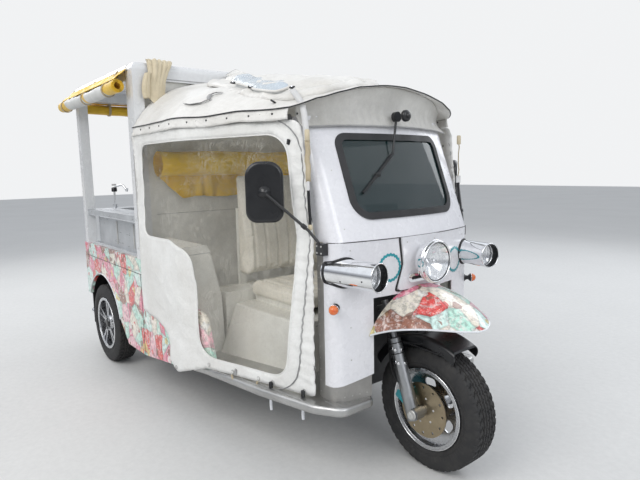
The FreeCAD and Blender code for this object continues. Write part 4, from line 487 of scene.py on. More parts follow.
# Stage: floor, world and lights
def make_stage():
    bpy.ops.mesh.primitive_plane_add(size=60, location=(0, 0, 0))
    floor = bpy.context.object
    floor.name = "floor"
    paint = Paint("floor_paint", (0.72, 0.72, 0.71), 0.75)
    paint.color(mottled(paint, (0.74, 0.74, 0.73), (0.7, 0.7, 0.69), 0.6, 30.0))
    floor.data.materials.append(paint.material)
    world = bpy.data.worlds.new("studio")
    world.use_nodes = True
    tree = world.node_tree
    tree.nodes.clear()

    def add(kind, *sources, **values):
        """A node with its settings; its first inputs are linked to sources or set to them."""
        made = tree.nodes.new("ShaderNode" + kind)
        for key, value in values.items():
            setattr(made, key, value)
        for source, socket in zip(sources, made.inputs):
            if hasattr(source, "is_linked"):
                tree.links.new(source, socket)
            else:
                socket.default_value = source
        return made

    height = add("SeparateXYZ", add("TexCoord").outputs["Generated"]).outputs["Z"]
    sky = add("ValToRGB", add("Math", height, 0.5, 0.5, operation="MULTIPLY_ADD").outputs[0])
    stops = ((0.0, (0.4, 0.39, 0.38)), (0.49, (0.52, 0.51, 0.5)), (0.505, (0.2, 0.21, 0.23)),
        (0.6, (0.4, 0.42, 0.46)), (0.68, (0.82, 0.86, 0.92)), (1.0, (0.92, 0.95, 1.0)))
    while len(sky.color_ramp.elements) < len(stops):
        sky.color_ramp.elements.new(0.5)
    for element, (place, color) in zip(sky.color_ramp.elements, stops):
        element.position = place
        element.color = (*color, 1.0)
    rays = add("LightPath").outputs
    pick = add("Mix", rays["Is Camera Ray"], data_type="RGBA")
    tree.links.new(sky.outputs["Color"], pick.inputs["A"])
    pick.inputs["B"].default_value = (0.88, 0.89, 0.9, 1.0)
    glossy = add("Math", rays["Is Glossy Ray"], rays["Is Transmission Ray"], operation="MAXIMUM")
    either = add("Math", rays["Is Camera Ray"], glossy.outputs[0], operation="MAXIMUM")
    soft = add("Background", (0.9, 0.94, 1.0, 1.0), 0.62)
    seen = add("Background", pick.outputs["Result"], 1.0)
    add("OutputWorld", add("MixShader", either.outputs[0], soft.outputs[0], seen.outputs[0]).outputs[0])
    bpy.context.scene.world = world
    lamps = (("key", (1.5, -5.0, 5.0), 4.0, 190.0, (1.0, 0.98, 0.95)), ("front", (6.5, -0.5, 3.6), 3.0, 90.0,
        (0.97, 0.98, 1.0)), ("left", (0.5, 5.5, 4.5), 4.0, 110.0, (0.95, 0.97, 1.0)),
        ("rear", (-5.0, -0.5, 4.0), 3.0, 80.0, (1.0, 1.0, 1.0)),)
    for name, place, size, power, color in lamps:
        data = bpy.data.lights.new(name, "AREA")
        data.size = size
        data.energy = power
        data.color = color
        lamp = linked(name, data)
        lamp.location = place
        lamp.rotation_euler = (Vector((0, 0, 0.8)) - Vector(place)).to_track_quat("-Z", "Y").to_euler()
    bpy.context.scene.view_settings.view_transform = "Standard"


# Geometry helpers
def new_piece(name, verts, faces, material, smooth=True, body="body"):
    mesh = bpy.data.meshes.new(name)
    mesh.from_pydata([tuple(v) for v in verts], [], faces)
    mesh.update()
    mesh.materials.append(MATERIALS[material])
    piece = linked(name, mesh)
    if smooth:
        mesh.polygons.foreach_set("use_smooth", [True] * len(mesh.polygons))
    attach(piece, body)
    return piece


def cloth(piece, flat, held, rests_on, with_pieces=()):
    """Does nothing: the sheet and the size it was cut to are not used."""


def thicken(piece, depth, offset=-1.0, rim=True):
    solid = piece.modifiers.new("thickness", "SOLIDIFY")
    solid.thickness = depth
    solid.offset = offset
    solid.use_rim = rim
    return piece


def cord_piece(name, lines, radius, material, closed=False, order=3, resolution=4, sides=3, body="body"):
    """Round trim along one or several lines of points, as smooth curves."""
    curve = bpy.data.curves.new(name, "CURVE")
    curve.dimensions = "3D"
    curve.bevel_depth = radius
    curve.bevel_resolution = sides
    curve.resolution_u = resolution
    curve.use_fill_caps = not closed
    for line in lines:
        spline = curve.splines.new("NURBS")
        spline.points.add(len(line) - 1)
        for point, place in zip(spline.points, line):
            point.co = (*place, 1.0)
        spline.use_cyclic_u = closed
        spline.order_u = min(order, len(line))
        spline.use_endpoint_u = not closed
    curve.materials.append(MATERIALS[material])
    piece = linked(name, curve)
    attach(piece, body)
    return piece


def stitches(name, lines):
    """Thread in short straight runs along each line."""
    return cord_piece(name, lines, 0.0008, "thread", order=2, resolution=1, sides=0)


def ripple(a, b, c):
    """Soft noise between -1 and 1 at a place of its own."""
    return noise.noise(Vector((a, b, c)))


def ring_faces(rings, steps, start=0):
    """Faces between rings of points that were laid down one after the other."""
    faces = []
    for i in range(rings - 1):
        for k in range(steps):
            a, b = start + i * steps, (k + 1) % steps
            faces.append((a + k, a + b, a + steps + b, a + steps + k))
    return faces


def angles(count):
    """Even steps of one turn, in radians."""
    return [tau * k / count for k in range(count)]


def square_to(axis):
    """Two ways square to an axis and to each other."""
    side = axis.orthogonal().normalized()
    return side, axis.cross(side)


def shares(rows, columns):
    """Every point of a grid as its share of the way down and across, from 0 to 1."""
    for i in range(rows):
        for j in range(columns):
            yield i / (rows - 1), j / (columns - 1)


def grid_faces(rows, columns):
    faces = []
    for i in range(rows - 1):
        for j in range(columns - 1):
            a = i * columns + j
            faces.append((a, a + 1, a + columns + 1, a + columns))
    return faces


def along_table(table, v):
    place = v * (len(table) - 1)
    i = min(int(place), len(table) - 2)
    t = place - i
    first, second = table[i], table[i + 1]
    if isinstance(first, tuple):
        return [a + (b - a) * t for a, b in zip(first, second)]
    return first + (second - first) * t


def rounded_box(name, centre, size, material, edge=0.003, segments=3, turn=(0, 0, 0), body="body"):
    """A small part with soft edges, turned by turn (Euler angles)."""
    mesh = bpy.data.meshes.new(name)
    bm = bmesh.new()
    bmesh.ops.create_cube(bm, size=1.0)
    for v in bm.verts:
        v.co = Vector((v.co.x * size[0], v.co.y * size[1], v.co.z * size[2]))
    bmesh.ops.bevel(bm, geom=list(bm.edges), offset=min(edge, min(size) * 0.45), segments=segments,
        affect="EDGES", profile=0.5)
    bm.to_mesh(mesh)
    bm.free()
    mesh.polygons.foreach_set("use_smooth", [True] * len(mesh.polygons))
    mesh.materials.append(MATERIALS[material])
    piece = linked(name, mesh)
    piece.matrix_world = Matrix.Translation(centre) @ Euler(turn).to_matrix().to_4x4()
    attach(piece, body)
    return piece


def lathe(name, profile, origin, axis, material, steps=32, smooth=True, body="body"):
    """Turn (radius, along) pairs about an axis through origin."""
    axis = Vector(axis).normalized()
    side, other = square_to(axis)
    verts = []
    for radius, along in profile:
        for angle in angles(steps):
            verts.append(origin + axis * along + (side * cos(angle) + other * sin(angle)) * radius)
    return new_piece(name, verts, ring_faces(len(profile), steps), material, smooth, body=body)


def hexagon(name, centre, axis, radius, height, material, body="body"):
    profile = ((0.0, height), (radius * 0.75, height), (radius, height * 0.82), (radius, 0.0))
    return lathe(name, profile, centre, axis, material, 6, smooth=False, body=body)


def strap(name, line, width, normal, material, thick=0.0016):
    """A flat webbing strap along a line of points, wide along its own side way."""
    verts = []
    for i, p in enumerate(line):
        way = (line[min(i + 1, len(line) - 1)] - line[max(i - 1, 0)]).normalized()
        side = way.cross(Vector(normal)).normalized() * width / 2
        verts += [p - side, p + side]
    faces = [(2 * i, 2 * i + 1, 2 * i + 3, 2 * i + 2) for i in range(len(line) - 1)]
    piece = new_piece(name, verts, faces, material)
    thicken(piece, thick, 0.0)
    return piece


def rounded_loop(corners, radii, step):
    """A closed polygon with rounded corners as a list of 2D points about step apart."""
    points = []
    count = len(corners)
    for i, (corner, radius) in enumerate(zip(corners, radii)):
        p = Vector(corner)
        a = (Vector(corners[i - 1]) - p).normalized()
        b = (Vector(corners[(i + 1) % count]) - p).normalized()
        half = a.angle(b) / 2
        if radius <= 0 or half > radians(89.5):
            points.append(p)
            continue
        centre = p + (a + b).normalized() * (radius / sin(half))
        start = p + a * (radius / tan(half)) - centre
        end = p + b * (radius / tan(half)) - centre
        sweep = start.angle(end)
        turn = 1.0 if start.cross(end) > 0 else -1.0
        pieces = max(2, int(radius * sweep / step))
        first = atan2(start.y, start.x)
        for k in range(pieces + 1):
            angle = first + turn * sweep * k / pieces
            points.append(centre + Vector((cos(angle), sin(angle))) * radius)
    return spaced_loop(points, step)


def spaced_loop(points, step):
    spaced = []
    for i, p in enumerate(points):
        q = points[(i + 1) % len(points)]
        parts = max(1, round((q - p).length / step))
        for k in range(parts):
            spaced.append(p.lerp(q, k / parts))
    return spaced


def is_inside(p, loop):
    hit = False
    for i, a in enumerate(loop):
        b = loop[i - 1]
        if (a.y > p.y) != (b.y > p.y) and p.x < (b.x - a.x) * (p.y - a.y) / (b.y - a.y) + a.x:
            hit = not hit
    return hit


def edge_distance(p, loop):
    best = 1e9
    for i, a in enumerate(loop):
        b = loop[i - 1]
        way = b - a
        share = max(0.0, min(1.0, (p - a).dot(way) / max(way.length_squared, 1e-12)))
        best = min(best, (a + way * share - p).length_squared)
    return sqrt(best)


def flat_mesh(outline, holes, step):
    """Triangles that fill an outline with holes, about step wide: 2D points and faces."""
    loops = [outline] + list(holes)
    points = []
    edges = []
    for loop in loops:
        start = len(points)
        points.extend(loop)
        edges.extend((start + i, start + (i + 1) % len(loop)) for i in range(len(loop)))
    low_x, high_x = min(p.x for p in outline), max(p.x for p in outline)
    low_y, high_y = min(p.y for p in outline), max(p.y for p in outline)
    row = 0
    y = low_y
    while y < high_y:
        x = low_x + (row % 2) * step / 2
        while x < high_x:
            p = Vector((x, y))
            if is_inside(p, outline) and not any(is_inside(p, h) for h in holes):
                if min(edge_distance(p, loop) for loop in loops) > step * 0.55:
                    points.append(p)
            x += step
        y += step * 0.866
        row += 1
    found = delaunay_2d_cdt(points, edges, [], 0, 1e-6)
    faces = []
    for face in found[2]:
        middle = sum((found[0][i] for i in face), Vector((0, 0))) / len(face)
        if is_inside(middle, outline) and not any(is_inside(middle, h) for h in holes):
            faces.append(tuple(face))
    return found[0], faces


def crease(x, y, z, scale, seed=0.0):
    """Ridged noise: sharp folds between soft hollows, from 0 to 1."""
    p = Vector((x * scale + seed, y * scale, z * scale))
    return 1.0 - min(1.0, abs(noise.noise(p)) * 2.4)


def dashes(points, lift, length=0.008, gap=0.006):
    """Short stitches along a line of (point, outward) pairs."""
    lines = []
    travelled = 0.0
    for (a, na), (b, nb) in zip(points, points[1:]):
        run = (b - a).length
        while travelled < run:
            start = a.lerp(b, travelled / run)
            end = a.lerp(b, min(1.0, (travelled + length) / run))
            if (end - start).length > length * 0.5:
                lines.append([start + na * lift, end + na * lift])
            travelled += length + gap
        travelled -= run
    return lines


# Door curtains: white coated cloth with a clear window and a zip, on both sides
CURTAIN_STEP = 0.016
CURTAIN_CORNERS = ((0.782, 1.497), (0.79, 0.52), (0.974, 0.499), (1.084, 0.464), (1.15, 0.405),
                   (1.178, 0.3), (1.221, 0.283), (1.385, 0.335), (1.44, 0.352), (2.043, 0.352),
                   (2.052, 1.009), (2.036, 1.205), (1.998, 1.48))
CURTAIN_RADII = (0, 0.025, 0.15, 0.15, 0.06, 0.06, 0.03, 0.15, 0.06, 0.02, 0.3, 0.3, 0.05)
WINDOW_CORNERS = ((0.893, 1.43), (0.872, 0.951), (1.19, 0.951), (1.37, 0.905), (1.4, 0.76),
                  (1.408, 0.41), (1.9, 0.4), (1.975, 1.004), (1.935, 1.43))
WINDOW_RADII = (0.06, 0.06, 0.15, 0.09, 0.06, 0.09, 0.09, 0.3, 0.11)
HEM = 0.028
ZIP_OUT = 0.062


def side_line(x):
    """Half width of the cab's side at x."""
    slope = (CURTAIN_FRONT_HALF - BODY_HALF) / (CURTAIN_FRONT_X - TAPER_X)
    soft = 0.05
    past = x - TAPER_X
    if past <= -soft:
        return BODY_HALF
    if past >= soft:
        return BODY_HALF + slope * past
    return BODY_HALF + slope * (past + soft) ** 2 / (4 * soft)


def curtain_out(x, z, side):
    """How far the curtain stands off the cab's side."""
    out = 0.008 + 0.01 * ripple(x * 2.6, side * 5.0, z * 2.2)
    out += 0.005 * crease(x * 1.0 + z * 0.5, side, z * 1.3, 4.5, 3.0) - 0.002
    front = max(0.0, min(1.0, (x - 1.93) / 0.05))
    gather = sin(z * 150.0 + 5.0 * ripple(x * 6, side * 3, z * 9))
    out += front * 0.0035 * gather
    corner = max(0.0, 1.0 - (Vector((x, z)) - Vector((1.17, 0.34))).length / 0.2)
    out += 0.022 * corner * corner
    top = max(0.0, 1.0 - abs(z - 1.465) / 0.03)
    out += top * 0.0025 * sin((x + z) * 170.0)
    return max(0.0035, out)


def curtain_at(x, z, side, lift=0.0):
    return at(x, side * (side_line(x) + curtain_out(x, z, side) + lift), z)


def offset_loop(loop, distance):
    moved = []
    for i, p in enumerate(loop):
        way = (loop[(i + 1) % len(loop)] - loop[i - 1]).normalized()
        moved.append(p + Vector((way.y, -way.x)) * distance)
    return moved


def moved_loop(loop, distance, inwards=True):
    """The loop moved to its inside or its outside, whichever way round its points run."""
    moved = offset_loop(loop, distance)
    middle = moved[len(moved) // 2] if inwards else moved[0]
    return moved if is_inside(middle, loop) == inwards else offset_loop(loop, -distance)


def make_curtains():
    outline = rounded_loop(CURTAIN_CORNERS, CURTAIN_RADII, CURTAIN_STEP)
    window = rounded_loop(WINDOW_CORNERS, WINDOW_RADII, CURTAIN_STEP)
    points, faces = flat_mesh(outline, [window], CURTAIN_STEP)
    film_loop = moved_loop(window, HEM * 0.5, False)
    film_points, film_faces = flat_mesh(spaced_loop(film_loop, 0.022), [], 0.022)
    raised = []
    for p in points:
        near = min(edge_distance(p, outline), edge_distance(p, window))
        raised.append(0.0022 if near < HEM else 0.0)
    for word, side in SIDES:
        verts = [curtain_at(p.x, p.y, side, lift) for p, lift in zip(points, raised)]
        order = faces if side < 0 else [f[::-1] for f in faces]
        piece = new_piece("curtain_" + word, verts, order, "curtain")
        thicken(piece, 0.003)
        if side < 0:
            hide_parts("door_curtains")
        verts = []
        for p in film_points:
            bulge = 0.01 * ripple(p.x * 2.1, side * 9.0, p.y * 1.7)
            near = min(1.0, edge_distance(p, window) / 0.08) if is_inside(p, window) else 0.0
            out = curtain_out(p.x, p.y, side) * (1 - near) + near * (0.01 + bulge) - 0.0045
            verts.append(at(p.x, side * (side_line(p.x) + max(0.001, out)), p.y))
        order = film_faces if side < 0 else [f[::-1] for f in film_faces]
        glass = new_piece("curtain_window_" + word, verts, order, "film")
        if side < 0:
            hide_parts("door_windows")
        cloth(piece, (1.3, 1.25), "hung", ["canopy_frame", "side_panels"], [glass])
        make_curtain_trim(side, word, outline, window)


def along_curtain(loop, side, lift):
    out = Vector((0, side, 0))
    return [(curtain_at(p.x, p.y, side, lift), out) for p in loop]


def make_curtain_trim(side, word, outline, window):
    """Stitches, edge piping and the curved zip."""
    inward = moved_loop(outline, HEM * 0.8)
    around = moved_loop(window, HEM * 0.8, False)
    lines = dashes(along_curtain(inward, side, 0.003), 0.0002)
    lines += dashes(along_curtain(around, side, 0.003), 0.0002)
    thread = stitches("curtain_stitches_" + word, lines)
    edge = [curtain_at(p.x, p.y, side, 0.0005) for p in window[::2]]
    cord_piece("window_piping_" + word, [edge], 0.0032, "curtain", closed=True, sides=2)
    zip_loop = moved_loop(window, ZIP_OUT, False)
    run = [p for p in zip_loop if p.x > 1.62 or (p.y < 0.6 and p.x > 1.45) or (p.y > 1.3 and p.x > 1.08)]
    start = max(range(len(run)), key=lambda i: (run[i] - run[i - 1]).length)
    run = run[start:] + run[:start]
    for shift, name in ((0.0, "zip_chain_"), (0.012, "zip_tape_inner_"), (-0.012, "zip_tape_outer_")):
        middle = Vector((1.6, 0.95))
        moved = [p + (p - middle).normalized() * shift for p in run]
        line = [curtain_at(p.x, p.y, side, 0.0022) for p in moved]
        if name == "zip_chain_":
            cord_piece(name + word, [line], 0.003, "grey_trim", sides=1)
            teeth = dashes(along_curtain(moved, side, 0.0045), 0.0005, 0.0022, 0.0028)
            cord_piece("zip_teeth_" + word, teeth, 0.0022, "black_plastic", order=2, resolution=1, sides=0)
        else:
            lines = dashes([(p, Vector((0, side, 0))) for p in line], 0.001, 0.007, 0.005)
            stitches(name + word, lines)


# Canopy: one curved sheet over the frame, its front edge an arch with black piping
CANOPY_REAR_X = 0.803
CANOPY_COLUMNS = ("x", "half", "edge_z", "shoulder_y", "shoulder_z", "crown_z")
CANOPY_ROWS = (
    (0.8, 0.694, 1.526, 0.42, 1.752, 1.815),
    (1.29, 0.694, 1.527, 0.41, 1.694, 1.742),
    (2.08, 0.461, 1.528, 0.29, 1.588, 1.627),
)
HEADER_LOW_Z = 1.464
HEADER_HALF = 0.445


def canopy_row(x):
    first, second = CANOPY_ROWS[:2] if x < CANOPY_ROWS[1][0] else CANOPY_ROWS[1:]
    t = (x - first[0]) / (second[0] - first[0])
    return dict(zip(CANOPY_COLUMNS, [a + (b - a) * t for a, b in zip(first, second)]))


def canopy_arcs(x):
    row = canopy_row(x)
    rise = row["crown_z"] - row["shoulder_z"]
    crown_r = (row["shoulder_y"] ** 2 + rise ** 2) / (2 * rise)
    crown = Vector((0, row["crown_z"] - crown_r))
    shoulder = Vector((row["shoulder_y"], row["shoulder_z"]))
    way = (shoulder - crown).normalized()
    reach = shoulder - Vector((row["half"], row["edge_z"]))
    side_r = reach.length_squared / (2 * reach.dot(way))
    return row, crown, crown_r, shoulder - way * side_r, side_r


def canopy_z(x, y):
    """Height of the smooth canopy: a crown's arc and an arc to each side."""
    row, crown, crown_r, side, side_r = canopy_arcs(x)
    y = min(abs(y), row["half"])
    if y <= row["shoulder_y"]:
        return crown.y + sqrt(crown_r ** 2 - y * y)
    return side.y + sqrt(max(0.0, side_r ** 2 - (y - side.x) ** 2))


def front_bow(y, z, out):
    """x of the nose and windscreen line at height z, moved forward by out."""
    y = min(abs(y), NOSE_HALF)
    return NOSE_FRONT_X - RAKE * max(0.0, z - BELT_Z) - (NOSE_BIG_R - sqrt(NOSE_BIG_R ** 2 - y * y)) + out


def canopy_front(y):
    return front_bow(y, 1.55, 0.0) + 0.075 - 0.3 * max(0.0, abs(y) - 0.3)


def canopy_point(u, t, lift=0.0):
    """u from 0 behind to 1 in front, t from -1 to 1 across."""
    guess = 0.461 * t
    x = CANOPY_REAR_X + u * (canopy_front(guess) - CANOPY_REAR_X)
    half = canopy_row(x)["half"]
    y = half * sin(t * pi / 2) if abs(t) < 1 else half * t
    z = canopy_z(x, y)
    sag = 0.01 * sin(u * pi * 2) ** 2 * (1 - abs(t))
    wrinkle = 0.006 * ripple(x * 5, y * 5, 1.0)
    wrinkle += 0.006 * crease(x + y, y - x * 0.6, 0.0, 3.2, 8.0) * (1 - abs(t) ** 4)
    return at(x, y, z - sag + wrinkle + lift)


def make_canopy():
    rows, columns = 90, 110
    verts = []
    drop_rows = 4
    for i in range(rows):
        u = i / (rows - 1)
        left = canopy_point(u, -1.0)
        right = canopy_point(u, 1.0)
        for k in range(drop_rows, 0, -1):
            wave = 0.002 * sin(u * 60.0 + k)
            verts.append(left + Vector((0, -0.002 * k + wave, -0.011 * k)))
        for j in range(columns):
            verts.append(canopy_point(u, -1 + 2 * j / (columns - 1)))
        for k in range(1, drop_rows + 1):
            wave = 0.002 * sin(u * 60.0 + k)
            verts.append(right + Vector((0, 0.002 * k + wave, -0.011 * k)))
    wide = columns + 2 * drop_rows
    faces = [f[::-1] for f in grid_faces(rows, wide)]
    roof = new_piece("canopy_sheet", verts, faces, "canopy")
    thicken(roof, 0.004)
    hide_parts("canopy")
    piping = []
    steps = 40
    for i in range(steps):
        piping.append(canopy_point(i / (steps - 1), -1.0) + Vector((0, -0.003, 0.001)))
    for j in range(1, steps * 2):
        piping.append(canopy_point(1.0, -1 + 2 * j / (steps * 2)) + Vector((0.003, 0, 0)))
    for i in range(steps):
        piping.append(canopy_point(1 - i / (steps - 1), 1.0) + Vector((0, 0.003, 0.001)))
    cord_piece("canopy_piping", [piping], 0.003, "black_plastic", sides=2)
    make_header()
    ribs = []
    for x in (CANOPY_REAR_X + 0.02, TAPER_X - 0.03, 1.62):
        u = (x - CANOPY_REAR_X) / (canopy_front(0) - CANOPY_REAR_X)
        for shift in (-0.008, 0.008):
            line = [(canopy_point(u + shift, -0.98 + 1.96 * j / 60, 0.0012), UP) for j in range(61)]
            ribs += dashes(line, 0.0004)
    stitches("canopy_stitches", ribs)


def make_header():
    """The cloth under the front arch, gathered at its lower edge."""
    rows, columns = 22, 150
    verts = []
    for i in range(rows):
        share = i / (rows - 1)
        for j in range(columns):
            y = -HEADER_HALF + 2 * HEADER_HALF * j / (columns - 1)
            top_z = canopy_z(canopy_front(y) - 0.03, y) - 0.006
            low_z = HEADER_LOW_Z - 0.012 * (abs(y) / HEADER_HALF) ** 3
            z = low_z + (top_z - low_z) * share
            set_back = -0.03 * sin(share * pi) - 0.012 * share
            x = front_bow(y, low_z, 0.016) * (1 - share) + (canopy_front(y) - 0.006) * share
            fold = sin(y * 150.0 + 4.0 * ripple(y * 7, z * 9, 2.0))
            gather = 0.0045 * fold * (1 - share) ** 1.6 * min(1.0, share * 5.0)
            soft = 0.008 * ripple(y * 6, z * 6, 5.0)
            verts.append(at(x + set_back + gather + soft, y, z))
    header = new_piece("canopy_header", verts, grid_faces(rows, columns), "header")
    thicken(header, 0.003)
    hem = [at(front_bow(y, HEADER_LOW_Z, 0.018), y, HEADER_LOW_Z - 0.012 * (abs(y) / HEADER_HALF) ** 3)
        for y in [-0.44 + 0.88 * j / 40 for j in range(41)]]
    cord_piece("header_hem", [hem], 0.0035, "grey_trim", sides=2)


# Folded curtain on the canopy, straps with buckles, and the beige cover piece over the box's edge
def on_canopy(x, y, lift):
    return at(x, y, canopy_z(x, y) + lift)


def layer_rise(p, near, full, seed, ridge):
    """Height of a folded layer over its base: a flat plate with a sharp lip, broken by slanting folds."""
    swell = 1.0 - exp(-near / 0.009)
    folds = crease(p.x * 0.55 + 0.8 * p.y, p.y * 1.2 - 0.5 * p.x, 0.0, 4.5, seed) * ridge * 1.5
    folds += 0.7 * ridge * crease(p.x * 0.7 - p.y, p.y + 0.4 * p.x, 1.0, 9.0, seed + 4.0)
    tilt = 0.012 * sin(3.1 * p.x + 5.0 * p.y + seed)
    return swell * (full * 0.62 + folds + tilt * 0.5) + 0.003 * ripple(p.x * 22, p.y * 22, seed)


def folded_layer(name, corners, base, full, seed, step, material, ridge=0.01, radius=0.06):
    """One folded layer of the bundle, swelling from its edges over the canopy."""
    loop = rounded_loop(corners, [radius] * len(corners), step)
    points, faces = flat_mesh(loop, [], step)
    verts = []
    for p in points:
        near = edge_distance(p, loop)
        verts.append(on_canopy(p.x, p.y, base + layer_rise(p, near, full, seed, ridge)))
    piece = new_piece(name, verts, faces, material)
    return piece, loop


BUNDLE_LAYERS = (
    # name, corners (x, y), lift of its edge, fullness, seed
    ("bundle_base", ((0.862, -0.275), (1.02, -0.355), (1.2, -0.395), (1.46, -0.455), (1.66, -0.48),
                     (1.9, -0.455), (2.01, -0.345), (2.02, -0.05), (1.9, 0.06), (1.56, 0.125),
                     (1.2, 0.125), (0.864, 0.125)), 0.002, 0.01, 2.0),
    ("bundle_fold_rear", ((0.9, -0.14), (1.04, -0.265), (1.26, -0.325), (1.46, -0.3), (1.44, -0.06),
                          (1.2, 0.05), (0.93, 0.045)), 0.013, 0.01, 11.0),
    ("bundle_fold_front", ((1.5, -0.4), (1.72, -0.435), (1.9, -0.395), (1.985, -0.25), (1.97, -0.02),
                           (1.72, 0.05), (1.5, 0.02), (1.44, -0.2)), 0.013, 0.014, 23.0),
    ("bundle_fold_top", ((1.08, -0.22), (1.34, -0.275), (1.58, -0.315), (1.79, -0.3), (1.83, -0.16),
                         (1.66, -0.05), (1.34, -0.03), (1.1, -0.06)), 0.023, 0.008, 37.0),
)
BUNDLE_FILM = ((1.22, -0.335), (1.44, -0.415), (1.66, -0.458), (1.8, -0.452), (1.87, -0.405), (1.74, -0.345),
               (1.5, -0.3), (1.26, -0.245))


def make_bundle():
    threads = []
    for name, corners, base, full, seed in BUNDLE_LAYERS:
        piece, loop = folded_layer(name, corners, base, full, seed, 0.013, "canopy")
        thicken(piece, 0.0025)
        inner = moved_loop(loop, 0.012)
        line = [(on_canopy(p.x, p.y, base + layer_rise(p, 0.012, full, seed, 0.01)), UP) for p in inner]
        threads += dashes(line, 0.0016)
        if name == "bundle_base":
            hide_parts("roof_bundle")
        cloth(piece, BUNDLE_FLAT[name], "folded",
            ["canopy_sheet" if name == "bundle_base" else "bundle_base"])
    # The clear window of the folded curtain, creased and bluish, with its white hem
    film_piece, loop = folded_layer("bundle_window", BUNDLE_FILM, 0.026, 0.01, 51.0, 0.011, "fold_film",
        0.012, 0.04)
    cloth(film_piece, (0.66, 0.26), "folded", ["bundle_base"])
    hem = [on_canopy(p.x, p.y, 0.029) for p in loop[::2]]
    cord_piece("bundle_window_hem", [hem], 0.005, "canopy", closed=True, sides=2)
    for shrink in (0.008, 0.02):
        inner = moved_loop(loop, shrink)
        rises = [0.026 + layer_rise(p, shrink, 0.01, 51.0, 0.012) for p in inner]
        threads += dashes([(on_canopy(p.x, p.y, rise), UP) for p, rise in zip(inner, rises)], 0.0012)
    stitches("bundle_stitches", threads)
    make_bundle_flap()


def make_bundle_flap():
    """The bundle's rear corner, standing against the box's front edge."""
    rows, columns = 26, 40
    top = ((0.845, -0.135, 1.846), (0.824, -0.085, 1.874), (0.8125, -0.052, 1.888), (0.835, -0.02, 1.872),
        (0.88, 0.03, 1.846), (0.93, 0.07, 1.822), (0.965, 0.094, 1.806))
    verts = []
    for v, u in shares(rows, columns):
        x, y, z = along_table(top, u)
        low_x, low_y = 0.935 + 0.045 * u, -0.148 + 0.246 * u
        low_z = canopy_z(low_x, low_y) + 0.026
        fold = 0.012 * crease(u * 0.8 + 0.3 * v, v * 0.6, 0.0, 4.0, 5.0) * sin(pi * min(1.0, v + 0.1))
        x = x + (low_x - x) * v ** 1.3 + fold + 0.006 * ripple(u * 3, v * 4, 7.0) * v
        verts.append(at(max(x, 0.811), y + (low_y - y) * v, z + (low_z - z) * v + fold * 0.4))
    flap = new_piece("bundle_flap", verts, grid_faces(rows, columns), "canopy")
    thicken(flap, 0.003)
    cloth(flap, (0.32, 0.24), "folded", ["box_frame", "bundle_base"])
    # A hem cord round the flap's top and one side, in grey thread colour: a hem, darkened as painted shade
    # along the flap's edges.
    border = [verts[j] for j in range(columns)] + [verts[i * columns + columns - 1] for i in range(rows)]
    cord_piece("flap_hem_and_shade", [border], 0.003, "thread", sides=2)


BUNDLE_FLAT = {"bundle_base": (1.25, 0.72), "bundle_fold_rear": (0.62, 0.44),
               "bundle_fold_front": (0.62, 0.56), "bundle_fold_top": (0.82, 0.34)}


def make_roof_straps():
    # A white strap from the bundle's buckle down over the arch to a beige roller
    path = [(1.885, -0.428, 0.036), (1.905, -0.436, 0.038), (1.93, -0.444, 0.03), (1.955, -0.449, 0.018)]
    line = [on_canopy(x, y, lift) for x, y, lift in path]
    line += [at(1.985, -0.452, 1.545), at(2.015, -0.463, 1.5), at(2.03, -0.468, 1.44), at(2.04, -0.47, 1.385)]
    fine = []
    for a, b in zip(line, line[1:]):
        fine += [a.lerp(b, k / 6) for k in range(6)]
    fine.append(line[-1])
    belt = strap("roof_strap", fine, 0.024, (0.55, -0.75, 0.4), "webbing")
    for k, (x, y, lift) in enumerate(((1.895, -0.43, 0.044), (1.4, -0.415, 0.03), (1.62, -0.455, 0.034),
            (0.895, -0.655, -0.02), (1.845, -0.49, 0.01))):
        spot = on_canopy(x, y, lift)
        rounded_box("buckle_%d" % k, spot, (0.025, 0.016, 0.008), "black_plastic", turn=(0.5, 0.2, 0.5 * k))
        lathe("buckle_pin_%d" % k, ((0.0, 0.007), (0.004, 0.0065), (0.0055, 0.0), (0.004, -0.004)), spot,
            (0.2, -0.5, 0.8), "chrome", 16)
    # A loose grey strap lying in an S on the canopy
    bends = ((1.29, -0.618), (1.345, -0.612), (1.4, -0.59), (1.425, -0.56), (1.395, -0.545), (1.375, -0.522),
        (1.395, -0.5), (1.435, -0.49))
    loose = []
    for (x0, y0), (x1, y1) in zip(bends, bends[1:]):
        for k in range(5):
            loose.append(on_canopy(x0 + (x1 - x0) * k / 5, y0 + (y1 - y0) * k / 5, 0.01))
    belt = strap("loose_strap", loose, 0.018, (0, 0, 1), "grey_trim")


COVER_PATH = ((0.758, 1.8935), (0.785, 1.8945), (0.806, 1.888), (0.818, 1.868), (0.823, 1.83),
              (0.825, 1.785), (0.829, 1.735), (0.838, 1.685), (0.856, 1.64))
COVER_MIDDLE = (-0.522, -0.524, -0.527, -0.532, -0.542, -0.553, -0.565, -0.578, -0.59)
COVER_HALF = (0.062, 0.07, 0.072, 0.066, 0.056, 0.05, 0.054, 0.06, 0.05)


